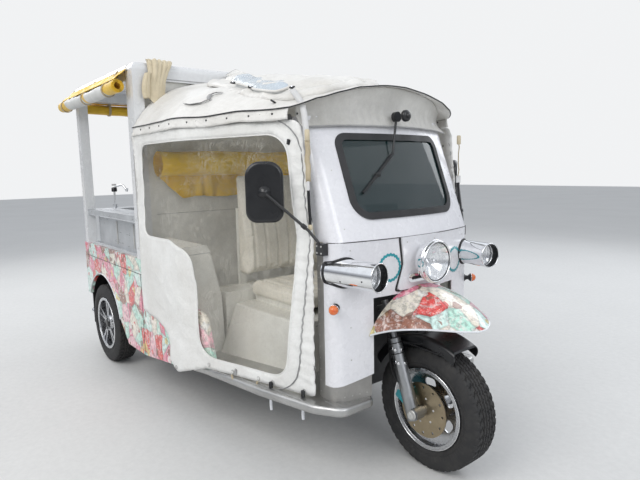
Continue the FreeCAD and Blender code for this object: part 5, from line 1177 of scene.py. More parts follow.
def make_cover_piece():
    rows, columns = 60, 54
    verts = []
    for v, share in shares(rows, columns):
        u = -1 + 2 * share
        tip = v - 0.17 * abs(u - 0.1) * v ** 4
        x, z = along_table(COVER_PATH, tip)
        y = along_table(COVER_MIDDLE, tip) + u * along_table(COVER_HALF, tip)
        pleat = sin(u * 15.0 + 0.7 * sin(v * 5)) * 0.0055 * max(0.12, 1 - 1.5 * abs(v - 0.18))
        puff = 0.012 * (1 - u * u) * sin(min(1.0, v * 1.6) * pi * 0.5)
        soft = 0.008 * ripple(u * 1.6, v * 4.0, 21.0)
        out = max(0.0, pleat + puff + soft) if v < 0.3 else pleat + puff + soft
        lift = out if v < 0.2 else out * 0.3
        verts.append(at(x + out * min(1.0, v * 4.0), y, z + lift * (1 - min(1.0, v * 3.0))))
    piece = new_piece("cover_piece", verts, [f[::-1] for f in grid_faces(rows, columns)], "beige")
    thicken(piece, 0.003, 1.0)
    cloth(piece, (0.2, 0.36), "draped", ["box_frame", "canopy_sheet"])
    # A rolled edge at its rear side
    rings, steps = 18, 40
    verts = []
    for i in range(rings):
        v = i / (rings - 1)
        centre = at(0.832 + 0.006 * v, -0.606 - 0.018 * sin(v * 2.2), 1.815 - 0.135 * v)
        for k in range(steps):
            angle = tau * 1.6 * k / (steps - 1)
            radius = (0.019 - 0.006 * k / steps) * (0.85 + 0.25 * sin(v * 3.0))
            verts.append(centre + Vector((cos(angle), sin(angle), 0.15 * sin(angle))) * radius)
    roll = new_piece("cover_roll", verts, grid_faces(rings, steps), "beige")
    thicken(roll, 0.002)
    cloth(roll, (0.2, 0.15), "folded", ["cover_piece"])


# Rolled awnings on three sides: a spiral roll, a sheet up to the rail and strap loops
AWNING_OUT = 0.066
AWNING_ROLL_R = 0.0355
AWNING_LOOP_R = 0.0385


def awning_frame(side):
    """Origin and ways of one awning: its start, its run, outward, and its length."""
    if side == "rear":
        half = BODY_HALF - 0.116
        return at(BOX_REAR, half, 0), Vector((0, -1, 0)), Vector((-1, 0, 0)), 2 * half, 0.048
    sign = -1 if side == "right" else 1
    start = at(BOX_REAR + 0.012, sign * BODY_HALF, 0)
    return start, Vector((1, 0, 0)), Vector((0, sign, 0)), BOX_FRONT - BOX_REAR - 0.074, AWNING_OUT


def make_awnings():
    roll_z = BOX_TOP - 0.134
    for number, side in enumerate(("right", "left", "rear")):
        origin, run, out, length, reach = awning_frame(side)
        origin = Vector((origin.x, origin.y, roll_z))
        rings, turns, per_turn = 64, 4, 22
        count = turns * per_turn + 1
        verts = []
        for i in range(rings):
            share = i / (rings - 1)
            along = -0.03 + (length + 0.06) * share
            sag = 0.006 * sin(share * pi) + 0.003 * ripple(share * 9, number, 0)
            fat = 1.0 + 0.05 * ripple(share * 14, number * 3, 5.0)
            for k in range(count):
                angle = pi * 0.5 - tau * k / per_turn
                wear = 1.0 + 0.06 * ripple(share * 12, cos(angle), sin(angle) + number)
                radius = (AWNING_ROLL_R - 0.0042 * k / per_turn) * fat * wear
                spot = out * (reach + cos(angle) * radius) + UP * (sin(angle) * radius - sag)
                verts.append(origin + run * along + spot)
        roll = new_piece("awning_roll_" + side, verts, grid_faces(rings, count), "awning")
        thicken(roll, 0.0018)
        if side == "right":
            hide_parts("awnings")
        rows, columns = 18, 90
        verts = []
        high = BOX_TOP - 0.034 - roll_z
        for v, share in shares(rows, columns):
            wave = ripple(share * 16, v * 1.5, number + 2.0)
            y = 0.003 + (reach + 0.01 - 0.003) * v ** 1.3 + 0.006 * wave * sin(v * pi)
            z = high + (0.036 - high) * v + 0.01 * sin(v * pi) * (0.6 + wave)
            verts.append(origin + run * (length * share) + out * y + UP * z)
        sheet = new_piece("awning_sheet_" + side, verts, grid_faces(rows, columns), "yellow")
        thicken(sheet, 0.002)
        cloth(roll, (round(length + 0.06, 2), 0.76), "folded", ["awning_sheet_" + side])
        cloth(sheet, (round(length, 2), 0.14), "hung", ["box_frame"])
        loops = []
        for share in (0.06, 0.5, 0.88):
            for shift in (-0.006, 0.0, 0.006):
                ring = []
                for k in range(15):
                    angle = pi * 0.62 - tau * k / 15 * 0.92
                    spot = out * (reach + cos(angle) * AWNING_LOOP_R) + UP * (sin(angle) * AWNING_LOOP_R
                        - 0.003)
                    ring.append(origin + run * (length * share + shift) + spot)
                top = origin + run * (length * share + shift) + out * 0.01 + UP * (BOX_TOP - 0.03 - roll_z)
                loops.append([top] + ring + [top + UP * -0.004])
        cord_piece("awning_loops_" + side, loops, 0.0026, "tan_webbing", sides=1)
        bar = [origin + run * (length * s) + out * 0.006 + UP * (BOX_TOP - 0.037 - roll_z)
            for s in (0.0, 0.5, 1.0)]
        cord_piece("awning_batten_" + side, [bar], 0.005, "post", sides=2)


# Cab drape: a rolled cloth across the cab's rear wall with a ragged hanging part
def make_drape():
    half = BODY_HALF - 0.092
    x0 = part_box("cab_drape")[0].x
    rings, steps = 90, 36
    verts = []
    for i in range(rings):
        share = i / (rings - 1)
        y = -half + 2 * half * share
        fat = 1.0 + 0.1 * ripple(share * 6, 1.0, 2.0)
        for angle in angles(steps):
            fold = 0.06 * ripple(share * 5 + cos(angle), sin(angle) * 2, 6.0)
            fold += 0.05 * crease(share * 3, cos(angle), sin(angle), 2.0, 3.0)
            radius = 0.066 * (fat + fold)
            verts.append(Vector((x0 + 0.074 + cos(angle) * radius, y, 1.332 + sin(angle) * radius)))
    faces = grid_faces(rings, steps)
    faces += [(i * steps + steps - 1, i * steps, (i + 1) * steps, (i + 1) * steps + steps - 1)
        for i in range(rings - 1)]
    roll = new_piece("drape_roll", verts, faces, "yellow")
    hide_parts("cab_drape")
    cloth(roll, (1.2, 0.48), "folded", ["bulkhead"])
    rows, columns = 34, 150
    verts = []
    for v, share in shares(rows, columns):
        y = (half - 0.03) * (-1 + 2 * share)
        ragged = ripple(share * 7.0, 4.0, 0.0) + 0.4 * ripple(share * 40, 1.0, 0.0)
        slant = min(1.0, min(share, 1 - share) / 0.11)
        length = 0.05 + 0.112 * slant + 0.016 * ragged * slant
        fold = sin(share * 70 + 4 * ripple(share * 8, v, 0.0))
        out = 0.016 + 0.012 * (1 + fold) * (0.35 + 0.65 * v) * (1 - 0.3 * v)
        verts.append(Vector((x0 + out, y, 1.3 - length * v)))
    hang = new_piece("drape_hang", verts, grid_faces(rows, columns), "yellow")
    thicken(hang, 0.0015)
    cloth(hang, (1.55, 0.2), "gathered", ["drape_roll"])


# Seat: padded cushions by cloth pressure, then sewn channels
def padded_form(name, corners, half_width, step, swell):
    """A closed cushion from a side outline of (x, z) corners, inflated by cloth pressure."""
    mesh = bpy.data.meshes.new(name)
    bm = bmesh.new()
    for y in (-half_width, half_width):
        for x, z in corners:
            bm.verts.new(at(x, y, z))
    bm.verts.ensure_lookup_table()
    count = len(corners)
    bm.faces.new([bm.verts[i] for i in range(count)])
    bm.faces.new([bm.verts[count + i] for i in reversed(range(count))])
    for i in range(count):
        n = (i + 1) % count
        bm.faces.new([bm.verts[n], bm.verts[i], bm.verts[count + i], bm.verts[count + n]])
    bmesh.ops.recalc_face_normals(bm, faces=bm.faces)
    bmesh.ops.bevel(bm, geom=list(bm.edges), offset=0.02, segments=4, affect="EDGES", profile=0.5)
    bm.to_mesh(mesh)
    bm.free()
    piece = linked(name, mesh)
    mesh.materials.append(MATERIALS["leather"])
    remesh = piece.modifiers.new("voxels", "REMESH")
    remesh.mode = "VOXEL"
    remesh.voxel_size = step
    apply_all(piece)
    before = [v.co.copy() for v in piece.data.vertices]
    cloth = piece.modifiers.new("cloth", "CLOTH")
    cloth.settings.use_pressure = True
    cloth.settings.uniform_pressure_force = 4.0
    cloth.settings.effector_weights.gravity = 0.0
    cloth.settings.quality = 4
    cloth.settings.tension_stiffness = 12.0
    cloth.settings.compression_stiffness = 12.0
    cloth.point_cache.frame_start = 1
    cloth.point_cache.frame_end = 20
    for step_frame in range(1, 21):
        bpy.context.scene.frame_set(step_frame)
    apply_all(piece)
    bpy.context.scene.frame_set(1)
    for vertex, old in zip(piece.data.vertices, before):
        move = vertex.co - old
        if move.length > swell:
            vertex.co = old + move.normalized() * swell
    return piece


def apply_all(piece):
    graph = bpy.context.evaluated_depsgraph_get()
    made = bpy.data.meshes.new_from_object(piece.evaluated_get(graph), depsgraph=graph)
    piece.modifiers.clear()
    piece.data = made
    made.polygons.foreach_set("use_smooth", [True] * len(made.polygons))


CHANNEL_HALF = 0.225
CHANNEL_PITCH = 0.075
SEAM_WIDTH = 0.28


def seam_share(y):
    """More than 0 only near the seams between the seat's channels."""
    return max(0.0, abs(((y + CHANNEL_HALF) / CHANNEL_PITCH) % 1.0 - 0.5) * 2 - (1 - SEAM_WIDTH))


def make_seat():
    low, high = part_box("seat_cushion")
    rear, front = low.x - AXLE_X, high.x - AXLE_X
    low_z, high_z = low.z, high.z
    corners = ((rear + 0.012, low_z + 0.006), (front - 0.02, low_z + 0.006), (front - 0.012, high_z - 0.03),
        (front - 0.03, high_z - 0.014), (rear + 0.012, high_z - 0.014))
    cushion = padded_form("seat_cushion_form", corners, 0.287, 0.006, 0.012)
    normals = [v.normal.copy() for v in cushion.data.vertices]
    for vertex, normal in zip(cushion.data.vertices, normals):
        x, y = vertex.co.x - AXLE_X, vertex.co.y
        if normal.z > 0.3 and abs(y) < CHANNEL_HALF and x < front - 0.06:
            vertex.co.z -= 0.01 * seam_share(y) / SEAM_WIDTH
        ring = min(abs(abs(y) - 0.228), abs(x - (front - 0.055))) if normal.z > 0.3 else 1.0
        if ring < 0.008 and abs(y) < 0.235 and x < front - 0.047:
            vertex.co.z -= 0.006 * (1 - ring / 0.008)
        vertex.co.z = max(vertex.co.z, low_z + 0.0005)
    finish_cushion(cushion, "seat_cushion")
    back_low, back_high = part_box("seat_back")
    x_rear = back_low.x - AXLE_X
    corners = ((x_rear + 0.052, back_low.z + 0.016), (rear - 0.014, back_low.z + 0.016),
        (rear - 0.016, back_low.z + 0.2), (rear - 0.084, back_high.z - 0.02),
        (x_rear + 0.014, back_high.z - 0.02), (x_rear + 0.014, back_low.z + 0.03))
    back = padded_form("seat_back_form", corners, 0.285, 0.0065, 0.014)
    normals = [v.normal.copy() for v in back.data.vertices]
    for vertex, normal in zip(back.data.vertices, normals):
        y, z = vertex.co.y, vertex.co.z
        share = (z - back_low.z) / (back_high.z - back_low.z)
        front_side = normal.x > 0.3
        if front_side and abs(y) < CHANNEL_HALF and 0.08 < share < 0.9:
            vertex.co.x -= 0.011 * seam_share(y) / SEAM_WIDTH
            band = abs(share - 0.62)
            if band < 0.02:
                vertex.co.x -= 0.008 * (1 - band / 0.02)
        if front_side and 0.006 > abs(abs(y) - 0.229):
            vertex.co.x -= 0.005
    finish_cushion(back, "seat_back")


def finish_cushion(piece, node):
    smooth = piece.modifiers.new("soft", "SUBSURF")
    smooth.levels = 1
    smooth.render_levels = smooth.levels
    apply_all(piece)
    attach(piece, "body")
    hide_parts(node)


# Tyres with a cut tread
TYRE_PROFILE = (  # share of the half width, radius below the outer radius
    (0.62, 0.0985), (0.7, 0.093), (0.78, 0.088), (0.86, 0.08), (0.92, 0.07), (0.965, 0.06),
    (0.985, 0.05), (0.975, 0.04), (0.955, 0.031), (0.925, 0.0225), (0.9, 0.0165), (0.87, 0.0105),
    (0.835, 0.006), (0.79, 0.003), (0.74, 0.0014),
)
RIM_LIP_R = 0.1745
TREAD_STEPS = 40
TREAD_TURNS = 336
GROOVES = ((-0.52, 0.05), (-0.18, 0.045), (0.18, 0.045), (0.52, 0.05))


def tread_drop(s, step):
    """Depth of the tread's grooves at the share s of the width and one step round."""
    for place, width in GROOVES:
        wave = 0.018 * sin(step * tau / 7)
        if abs(s - place - wave) < width:
            return 0.0062
    row = int((s + 1) * 3)
    phase = (step + row * 3 + int(abs(s) * 9)) % 7
    if abs(s) > 0.57 and phase < 2:
        return 0.0055
    if abs(s) <= 0.57 and phase == 0:
        return 0.0042
    return 0.0


def wheel_ring(centre, radius, y, count):
    """Points round a wheel's axle, at y from its middle."""
    return [centre + Vector((cos(a) * radius, y, sin(a) * radius)) for a in angles(count)]


def make_tyre(node, word, body):
    low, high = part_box(node)
    centre = (low + high) / 2
    radius = (high.z - low.z) / 2
    half = (high.y - low.y) / 2
    turns = TREAD_TURNS
    stride = TREAD_TURNS // turns
    side = [(-share * half, radius - drop) for share, drop in TYRE_PROFILE]
    tread = []
    for k in range(TREAD_STEPS + 1):
        s = -1 + 2 * k / TREAD_STEPS
        tread.append((s, s * 0.7 * half, radius - 0.0012 * s * s - 0.0006))
    verts = []
    for step in range(0, TREAD_TURNS, stride):
        angle = tau * step / TREAD_TURNS
        rib = 0.0007 if step % 4 < 2 else 0.0
        across = Vector((cos(angle), 0, sin(angle)))
        ring = []
        for i, (y, r) in enumerate(side):
            extra = rib if 3 <= i <= 6 else 0.0
            notch = 0.0035 if i >= 11 and step % 7 < 2 else 0.0
            ring.append((y - extra, r - notch))
        ring += [(y, r - tread_drop(s, step)) for s, y, r in tread]
        for i, (y, r) in reversed(list(enumerate(side))):
            extra = rib if 3 <= i <= 6 else 0.0
            notch = 0.0035 if i >= 11 and (step + 3) % 7 < 2 else 0.0
            ring.append((-y + extra, r - notch))
        for y, r in ring:
            verts.append(centre + across * r + Vector((0, y, 0)))
    wide = len(side) * 2 + len(tread)
    faces, smooth = [], []
    for i in range(turns):
        n = (i + 1) % turns
        for j in range(wide - 1):
            faces.append((i * wide + j, i * wide + j + 1, n * wide + j + 1, n * wide + j))
            smooth.append(not len(side) - 4 <= j < wide - len(side) + 3)
        faces.append((i * wide + wide - 1, i * wide, n * wide, n * wide + wide - 1))
        smooth.append(True)
    piece = new_piece("tyre_" + word, verts, faces, "tyre", body=body)
    piece.data.polygons.foreach_set("use_smooth", smooth)
    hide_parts(node)
    beads = []
    for y in (-0.93 * half, 0.93 * half, -0.7 * half, 0.7 * half):
        drop = 0.068 if abs(y) > 0.8 * half else 0.0925
        beads.append(wheel_ring(centre, radius - drop, y, 48))
    cord_piece("tyre_lines_" + word, beads, 0.0022, "tyre", closed=True, sides=1, resolution=3, body=body)


WHEELS = (("front", "front_tyre", "front_rim", "front_wheel"),
          ("right", "rear_tyre_right", "rear_rim_right", "rear_wheel_right"),
          ("left", "rear_tyre_left", "rear_rim_left", "rear_wheel_left"))


def make_wheel_parts():
    for word, tyre, rim, body in WHEELS:
        make_tyre(tyre, word, body)
        low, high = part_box(rim)
        centre = (low + high) / 2
        outs = (-1, 1) if word == "front" else ((-1,) if word == "right" else (1,))
        half = (high.y - low.y) / 2
        for out in outs:
            lip = wheel_ring(centre, RIM_LIP_R, out * (half - 0.001), 64)
            cord_piece("rim_lip_%s_%s" % (word, "right" if out < 0 else "left"), [lip], 0.0026, "chrome",
                closed=True, sides=2, resolution=3, body=body)
        if word == "front":
            face = -0.04
            lathe("front_hub_cap", ((0.0, 0.012), (0.02, 0.011), (0.026, 0.006), (0.028, 0.0)),
                centre + Vector((0, face - 0.002, 0)), (0, -1, 0), "alloy", body=body)
            spokes = 4
            ring = 0.036
            depth = face - 0.001
            outs = (-1,)
        else:
            out = outs[0]
            depth = out * 0.05
            lathe("hub_cap_" + word, ((0.0, 0.01), (0.024, 0.0095), (0.03, 0.006), (0.032, 0.0)),
                centre + Vector((0, depth, 0)), (0, out, 0), "black_plastic", body=body)
            spokes = 5
            ring = 0.043
        for k in range(spokes):
            a = tau * (k + 0.5) / spokes
            spot = centre + Vector((cos(a) * ring, depth, sin(a) * ring))
            hexagon("nut_%s_%d" % (word, k), spot, (0, outs[0], 0), 0.0085, 0.01, "alloy", body=body)
        valve = centre + Vector((0.135, outs[0] * 0.03, 0.02))
        lathe("valve_" + word, ((0.0, 0.034), (0.0035, 0.033), (0.0035, 0.012), (0.005, 0.01), (0.005, 0.0)),
            valve, (-0.25, outs[0], 0), "rubber", 10, body=body)


# Small parts, set on the surfaces that carry them
SURFACES = {}


def touch(node, origin, way):
    """Where a line from origin along way first meets a CAD node, and the surface's normal there."""
    if node not in SURFACES:
        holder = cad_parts[node]
        places = [holder.matrix_world @ v.co for v in holder.data.vertices]
        SURFACES[node] = BVHTree.FromPolygons(places, [tuple(p.vertices) for p in holder.data.polygons])
    way = Vector(way).normalized()
    spot, normal, _, _ = SURFACES[node].ray_cast(Vector(origin), way)
    if spot is not None and normal.dot(way) > 0:
        normal = -normal
    return spot, normal


def side_spot(node, x, side, z, start=1.0):
    """The spot straight in from the right (-1) or the left (1), and its normal."""
    return touch(node, at(x, side * start, z), (0, -side, 0))


def front_spot(node, y, z, start=2.5):
    return touch(node, at(start, y, z), (-1, 0, 0))


def rear_spot(node, y, z, start=-1.0):
    return touch(node, at(start, y, z), (1, 0, 0))


def path(side, *rows):
    """Points from rows of (x, y, z), with y on the right (-1) or the left (1)."""
    return [at(x, side * y, z) for x, y, z in rows]


def laid(node, points, way, lift):
    """Points moved along way on to a node and lifted off it; points that miss are left out."""
    line = []
    for p in points:
        spot, normal = touch(node, p, way)
        if spot is not None:
            line.append(spot + normal * lift)
    return line


def studs(name, places, radius, material, body="body", tall=0.5, steps=10):
    """Screw or rivet heads at (spot, normal) pairs, as one piece."""
    profile = ((0.0, tall * 0.7), (0.35, tall * 0.75), (0.72, tall), (1.0, tall * 0.5), (1.0, -0.1))
    verts, faces = [], []
    for spot, normal in places:
        if spot is None:
            continue
        side, other = square_to(normal)
        start = len(verts)
        for out, along in profile:
            for a in angles(steps):
                verts.append(spot + (normal * along + (side * cos(a) + other * sin(a)) * out) * radius)
        faces += ring_faces(len(profile), steps, start)
    return new_piece(name, verts, faces, material, body=body)


def ring_points(centre, axis, radius, count=48):
    side, other = square_to(Vector(axis).normalized())
    return [centre + (side * cos(a) + other * sin(a)) * radius for a in angles(count)]


def evenly(a, b, count):
    a, b = Vector(a), Vector(b)
    return [a.lerp(b, k / (count - 1)) for k in range(count)]


# Nose: seams, piping, blank stickers, lamps and signals
TUBE_Z = 0.88
TUBE_R = 0.056
LAMP_Z = 0.895
SIGNAL_Z = 0.742


def tube_axis(side):
    rear = at(NOSE_FRONT_X - 0.13, side * (NOSE_HALF - 0.037), TUBE_Z)
    front = at(NOSE_FRONT_X + 0.115, side * (NOSE_HALF - 0.075), TUBE_Z)
    return rear, front


def make_sticker(word, y0, z0, radius):
    """A blank round sticker with a scalloped border."""
    turns = 108
    for name, material, rings in (("sticker_field_", "panel", (0.0, 0.25, 0.5, 0.75, 0.86)),
            ("sticker_edge_", "teal", (0.8, 0.86, 0.92, 1.0))):
        verts = []
        for share in rings:
            for a in angles(turns):
                wavy = 1.0 + (0.035 * cos(21 * a) if share in (1.0, 0.8) else 0.0)
                y, z = y0 + radius * share * wavy * cos(a), z0 + radius * share * wavy * sin(a)
                spot, normal = front_spot("nose_cowl", y, z)
                verts.append((spot if spot else at(2.19, y, z))
                    + Vector((0.0011 if "edge" in name else 0.0007, 0, 0)))
        new_piece(name + word, verts, ring_faces(len(rings), turns), material)


def make_nose_trim():
    # Belt seam all round the cowl
    seam = []
    for k in range(73):
        a = radians(-104 + 208 * k / 72)
        spot, normal = touch("nose_cowl", at(2.04 + cos(a), sin(a), BELT_Z - 0.0015), (-cos(a), -sin(a), 0))
        if spot is not None and normal.z < 0.5:
            seam.append(spot + Vector((normal.x, normal.y, 0)) * 0.0004)
    cord_piece("belt_seam", [seam], 0.0019, "rubber", sides=1, resolution=2)
    # Black piping round the headlamp panel
    edge = ((-0.119, 0.998), (-0.119, 0.985), (-0.107, 0.905), (-0.1055, 0.885), (-0.109, 0.868),
        (-0.139, 0.79), (-0.141, 0.779), (-0.128, 0.7745))
    outline = list(edge) + [(-y, z) for y, z in edge[::-1]]
    points = []
    for (y0, z0), (y1, z1) in zip(outline, outline[1:]):
        count = max(2, int(hypot(y1 - y0, z1 - z0) / 0.012))
        points += [at(2.5, y0 + (y1 - y0) * k / count, z0 + (z1 - z0) * k / count) for k in range(count)]
    points.append(at(2.5, *outline[-1]))
    cord_piece("panel_piping", [laid("nose_cowl", points, (-1, 0, 0), 0.0015)], 0.0042, "rubber", sides=2,
        resolution=3)
    make_sticker("right", -0.172, 0.878, 0.06)
    make_sticker("left", 0.278, 0.857, 0.06)
    screws = [front_spot("nose_cowl", y, z) for y in (-0.36, 0.36) for z in (0.966, 0.655, 0.52)]
    screws += [front_spot("headlamp_panel", y, 0.978) for y in (-0.088, 0.088)]
    studs("nose_screws", screws, 0.0032, "stainless")


def make_lamps():
    middle = at(NOSE_FRONT_X + 0.014, 0, LAMP_Z)
    lathe("headlamp_reflector", ((0.012, 0.034), (0.03, 0.039), (0.05, 0.05), (0.066, 0.065), (0.077, 0.082)),
        middle, (1, 0, 0), "chrome", 48)
    lathe("headlamp_bulb", ((0.0, 0.066), (0.006, 0.065), (0.01, 0.06), (0.011, 0.05), (0.009, 0.034)),
        middle, (1, 0, 0), "lens", 20)
    lathe("headlamp_shade", ((0.0, 0.072), (0.01, 0.0715), (0.0125, 0.067), (0.0125, 0.06)), middle,
        (1, 0, 0), "chrome", 24)
    rims = [ring_points(middle + Vector((0.0845, 0, 0)), (1, 0, 0), 0.0845),
        ring_points(middle + Vector((0.07, 0, 0)), (1, 0, 0), 0.0882)]
    cord_piece("headlamp_rims", rims, 0.0036, "chrome", closed=True, sides=2, resolution=3)
    cord_piece("headlamp_gasket", [ring_points(middle + Vector((0.082, 0, 0)), (1, 0, 0), 0.0795)], 0.0022,
        "rubber", closed=True, sides=1)
    spots = [front_spot("lamp_housings", y, LAMP_Z + z) for y, z in ((0.0, -0.084), (0.0, 0.0845))]
    studs("headlamp_screws", spots, 0.0036, "stainless")
    for word, side in SIDES:
        rear, front = tube_axis(side)
        way = (front - rear).normalized()
        lathe("tube_sleeve_" + word, ((0.0527, -0.036), (0.0515, -0.03), (0.0515, -0.006), (0.0532, -0.002)),
            front, way, "black_plastic", 40)
        lathe("tube_reflector_" + word, ((0.01, -0.0585), (0.026, -0.056), (0.042, -0.051), (0.05, -0.047)),
            front, way, "chrome", 40)
        lathe("tube_bulb_" + word, ((0.0, -0.0465), (0.005, -0.047), (0.008, -0.05), (0.008, -0.0585)), front,
            way, "panel", 20)
        rims = [ring_points(front - way * 0.0012, way, 0.0546), ring_points(front - way * 0.034, way, 0.0505)]
        cord_piece("tube_rims_" + word, rims, 0.0024, "chrome", closed=True, sides=2, resolution=3)
        trim = []
        for start in ring_points(front, way, TUBE_R + 0.003, 72):
            spot, normal = touch("nose_cowl", start, -way)
            if spot is None or (spot - start).length > (front - rear).length - 0.008:
                spot = start - way * ((front - rear).length - 0.01)
            trim.append(spot + way * 0.0015)
        cord_piece("tube_trim_" + word, [trim], 0.0034, "rubber", closed=True, sides=2, resolution=3)
        spots = []
        for share, up in ((0.42, -0.5), (0.86, -0.2)):
            axis_point = rear.lerp(front, share)
            out = Vector((0, side, up)).normalized()
            spots.append(touch("lamp_housings", axis_point + out * 0.2, -out))
        studs("tube_screws_" + word, spots, 0.0034, "black_steel")
    # The slotted bezel's dark inside and its bolt
    inside = [at(NOSE_FRONT_X + 0.0165, y, 0.824) for y in (-0.068, -0.03, 0.0, 0.03, 0.068)]
    cord_piece("bezel_inside", [inside], 0.0056, "rubber", sides=2)
    studs("bezel_bolt", [front_spot("lamp_housings", 0.03, 0.838)], 0.0065, "chrome")


def make_signal_details():
    for word, side in SIDES:
        foot = at(NOSE_FRONT_X - 0.082, side * (NOSE_HALF - 0.028), SIGNAL_Z)
        way = Vector((0.62, side * 0.78, 0)).normalized()
        spot, normal = touch("nose_cowl", foot + way * 0.2, -way)
        start = (spot - foot).dot(way)
        lathe("signal_stalk_" + word, ((0.0175, start - 0.002), (0.0175, start + 0.003),
            (0.0125, start + 0.007), (0.0098, 0.034), (0.0105, 0.041)), foot, way, "rubber", 24)
        cup = []
        for k in range(8):
            a = radians(180 - 72 * k / 7)
            cup.append((sin(a) * 0.0202 + 0.0003, 0.058 + cos(a) * 0.0202))
        lathe("signal_cup_" + word, cup, foot, way, "black_plastic", 28)
        cord_piece("signal_ring_" + word, [ring_points(foot + way * 0.0518, way, 0.02, 32)], 0.0014, "chrome",
            closed=True, sides=1)
        for level, z in (("upper", 0.69), ("lower", 0.58)):
            lamp = at(BOX_REAR - 0.001, side * (BODY_HALF - 0.09), z)
            lathe("tail_ring_%s_%s" % (level, word), ((0.0475, 0.0), (0.0495, 0.003), (0.049, 0.008),
                (0.0462, 0.012), (0.0452, 0.012)), lamp, (-1, 0, 0), "chrome", 36)
            rings = [ring_points(lamp + Vector((-0.0246, 0, 0)), (1, 0, 0), r, 36)
                for r in (0.01, 0.019, 0.028)]
            colour = "amber" if level == "upper" else "red_lens"
            if level == "lower":
                lathe("tail_lens_" + word, ((0.0458, 0.004), (0.0456, 0.0125), (0.034, 0.025), (0.0, 0.0252)),
                    lamp, (-1, 0, 0), colour, 36)
                rings = [[p + Vector((-0.0008, 0, 0)) for p in ring] for ring in rings]
            cord_piece("tail_ribs_%s_%s" % (level, word), rings, 0.0012, colour, closed=True, sides=1)


def arc_height(points, x):
    """Height at x of the circle through three (x, z) points."""
    (x1, z1), (x2, z2), (x3, z3) = points
    a = (x1 - x2) * (z2 - z3) - (x2 - x3) * (z1 - z2)
    d1 = (x1 ** 2 - x2 ** 2 + z1 ** 2 - z2 ** 2) / 2
    d2 = (x2 ** 2 - x3 ** 2 + z2 ** 2 - z3 ** 2) / 2
    cx = (d1 * (z2 - z3) - d2 * (z1 - z2)) / a
    cz = ((x1 - x2) * d2 - (x2 - x3) * d1) / a
    return cz + sqrt((x1 - cx) ** 2 + (z1 - cz) ** 2 - (x - cx) ** 2)


MUDGUARD_EDGE = ((-0.19, 0.56), (0.06, 0.657), (0.31, 0.625))


def make_guard_edge():
    """The mudguard's white rolled edge, round both sides and the tip."""
    sides = []
    for side in (-1, 1):
        line = []
        for k in range(46):
            x = -0.11 + 0.345 * k / 45
            z = arc_height(MUDGUARD_EDGE, x) + 0.0022
            spot, normal = side_spot("front_mudguard", WHEELBASE + x, side, z, 0.6)
            if spot is not None:
                line.append(spot + normal * 0.0006)
        sides.append(line)
    front = [front_spot("front_mudguard", -0.072 + 0.144 * k / 8, arc_height(MUDGUARD_EDGE, 0.236) + 0.0025,
        2.8)[0] for k in range(9)]
    line = sides[0] + [p for p in front if p is not None] + sides[1][::-1]
    cord_piece("guard_edge", [line], 0.004, "panel", sides=2, resolution=2)
    spots = [touch("front_mudguard", at(2.21, y, 1.2), (0, 0, -1)) for y in (-0.15, 0.15)]
    studs("guard_bolts", spots, 0.0055, "stainless")


# Curtain ties: rubber straps that hang from the lower hem, and a webbing loop
def make_ties():
    for word, side in SIDES:
        for k, (x, y, top) in enumerate(((1.824, 0.523, 0.356), (1.989, 0.473, 0.356))):
            route = path(side, (x, y + 0.01, top), (x + 0.001, y + 0.013, top - 0.02), (x + 0.004, y + 0.0145,
                top - 0.05), (x - 0.001, y + 0.013, top - 0.082), (x - 0.007, y + 0.007, top - 0.112))
            tie = cord_piece("tie_%s_%d" % (word, k), [route], 0.0068, "panel", resolution=8, sides=3)
            hook = rounded_box("tie_hook_%s_%d" % (word, k), route[0] + Vector((0, side * 0.001, 0.002)),
                (0.017, 0.016, 0.03), "black_plastic", 0.005, turn=(0, 0, 0.3 * side))
        route = path(side, (1.6, 0.6, 0.356), (1.606, 0.602, 0.338), (1.64, 0.592, 0.318),
            (1.69, 0.577, 0.313), (1.732, 0.562, 0.322), (1.744, 0.556, 0.34), (1.746, 0.554, 0.356))
        loop = cord_piece("tie_loop_" + word, [route], 0.005, "tan_webbing", resolution=8, sides=2)


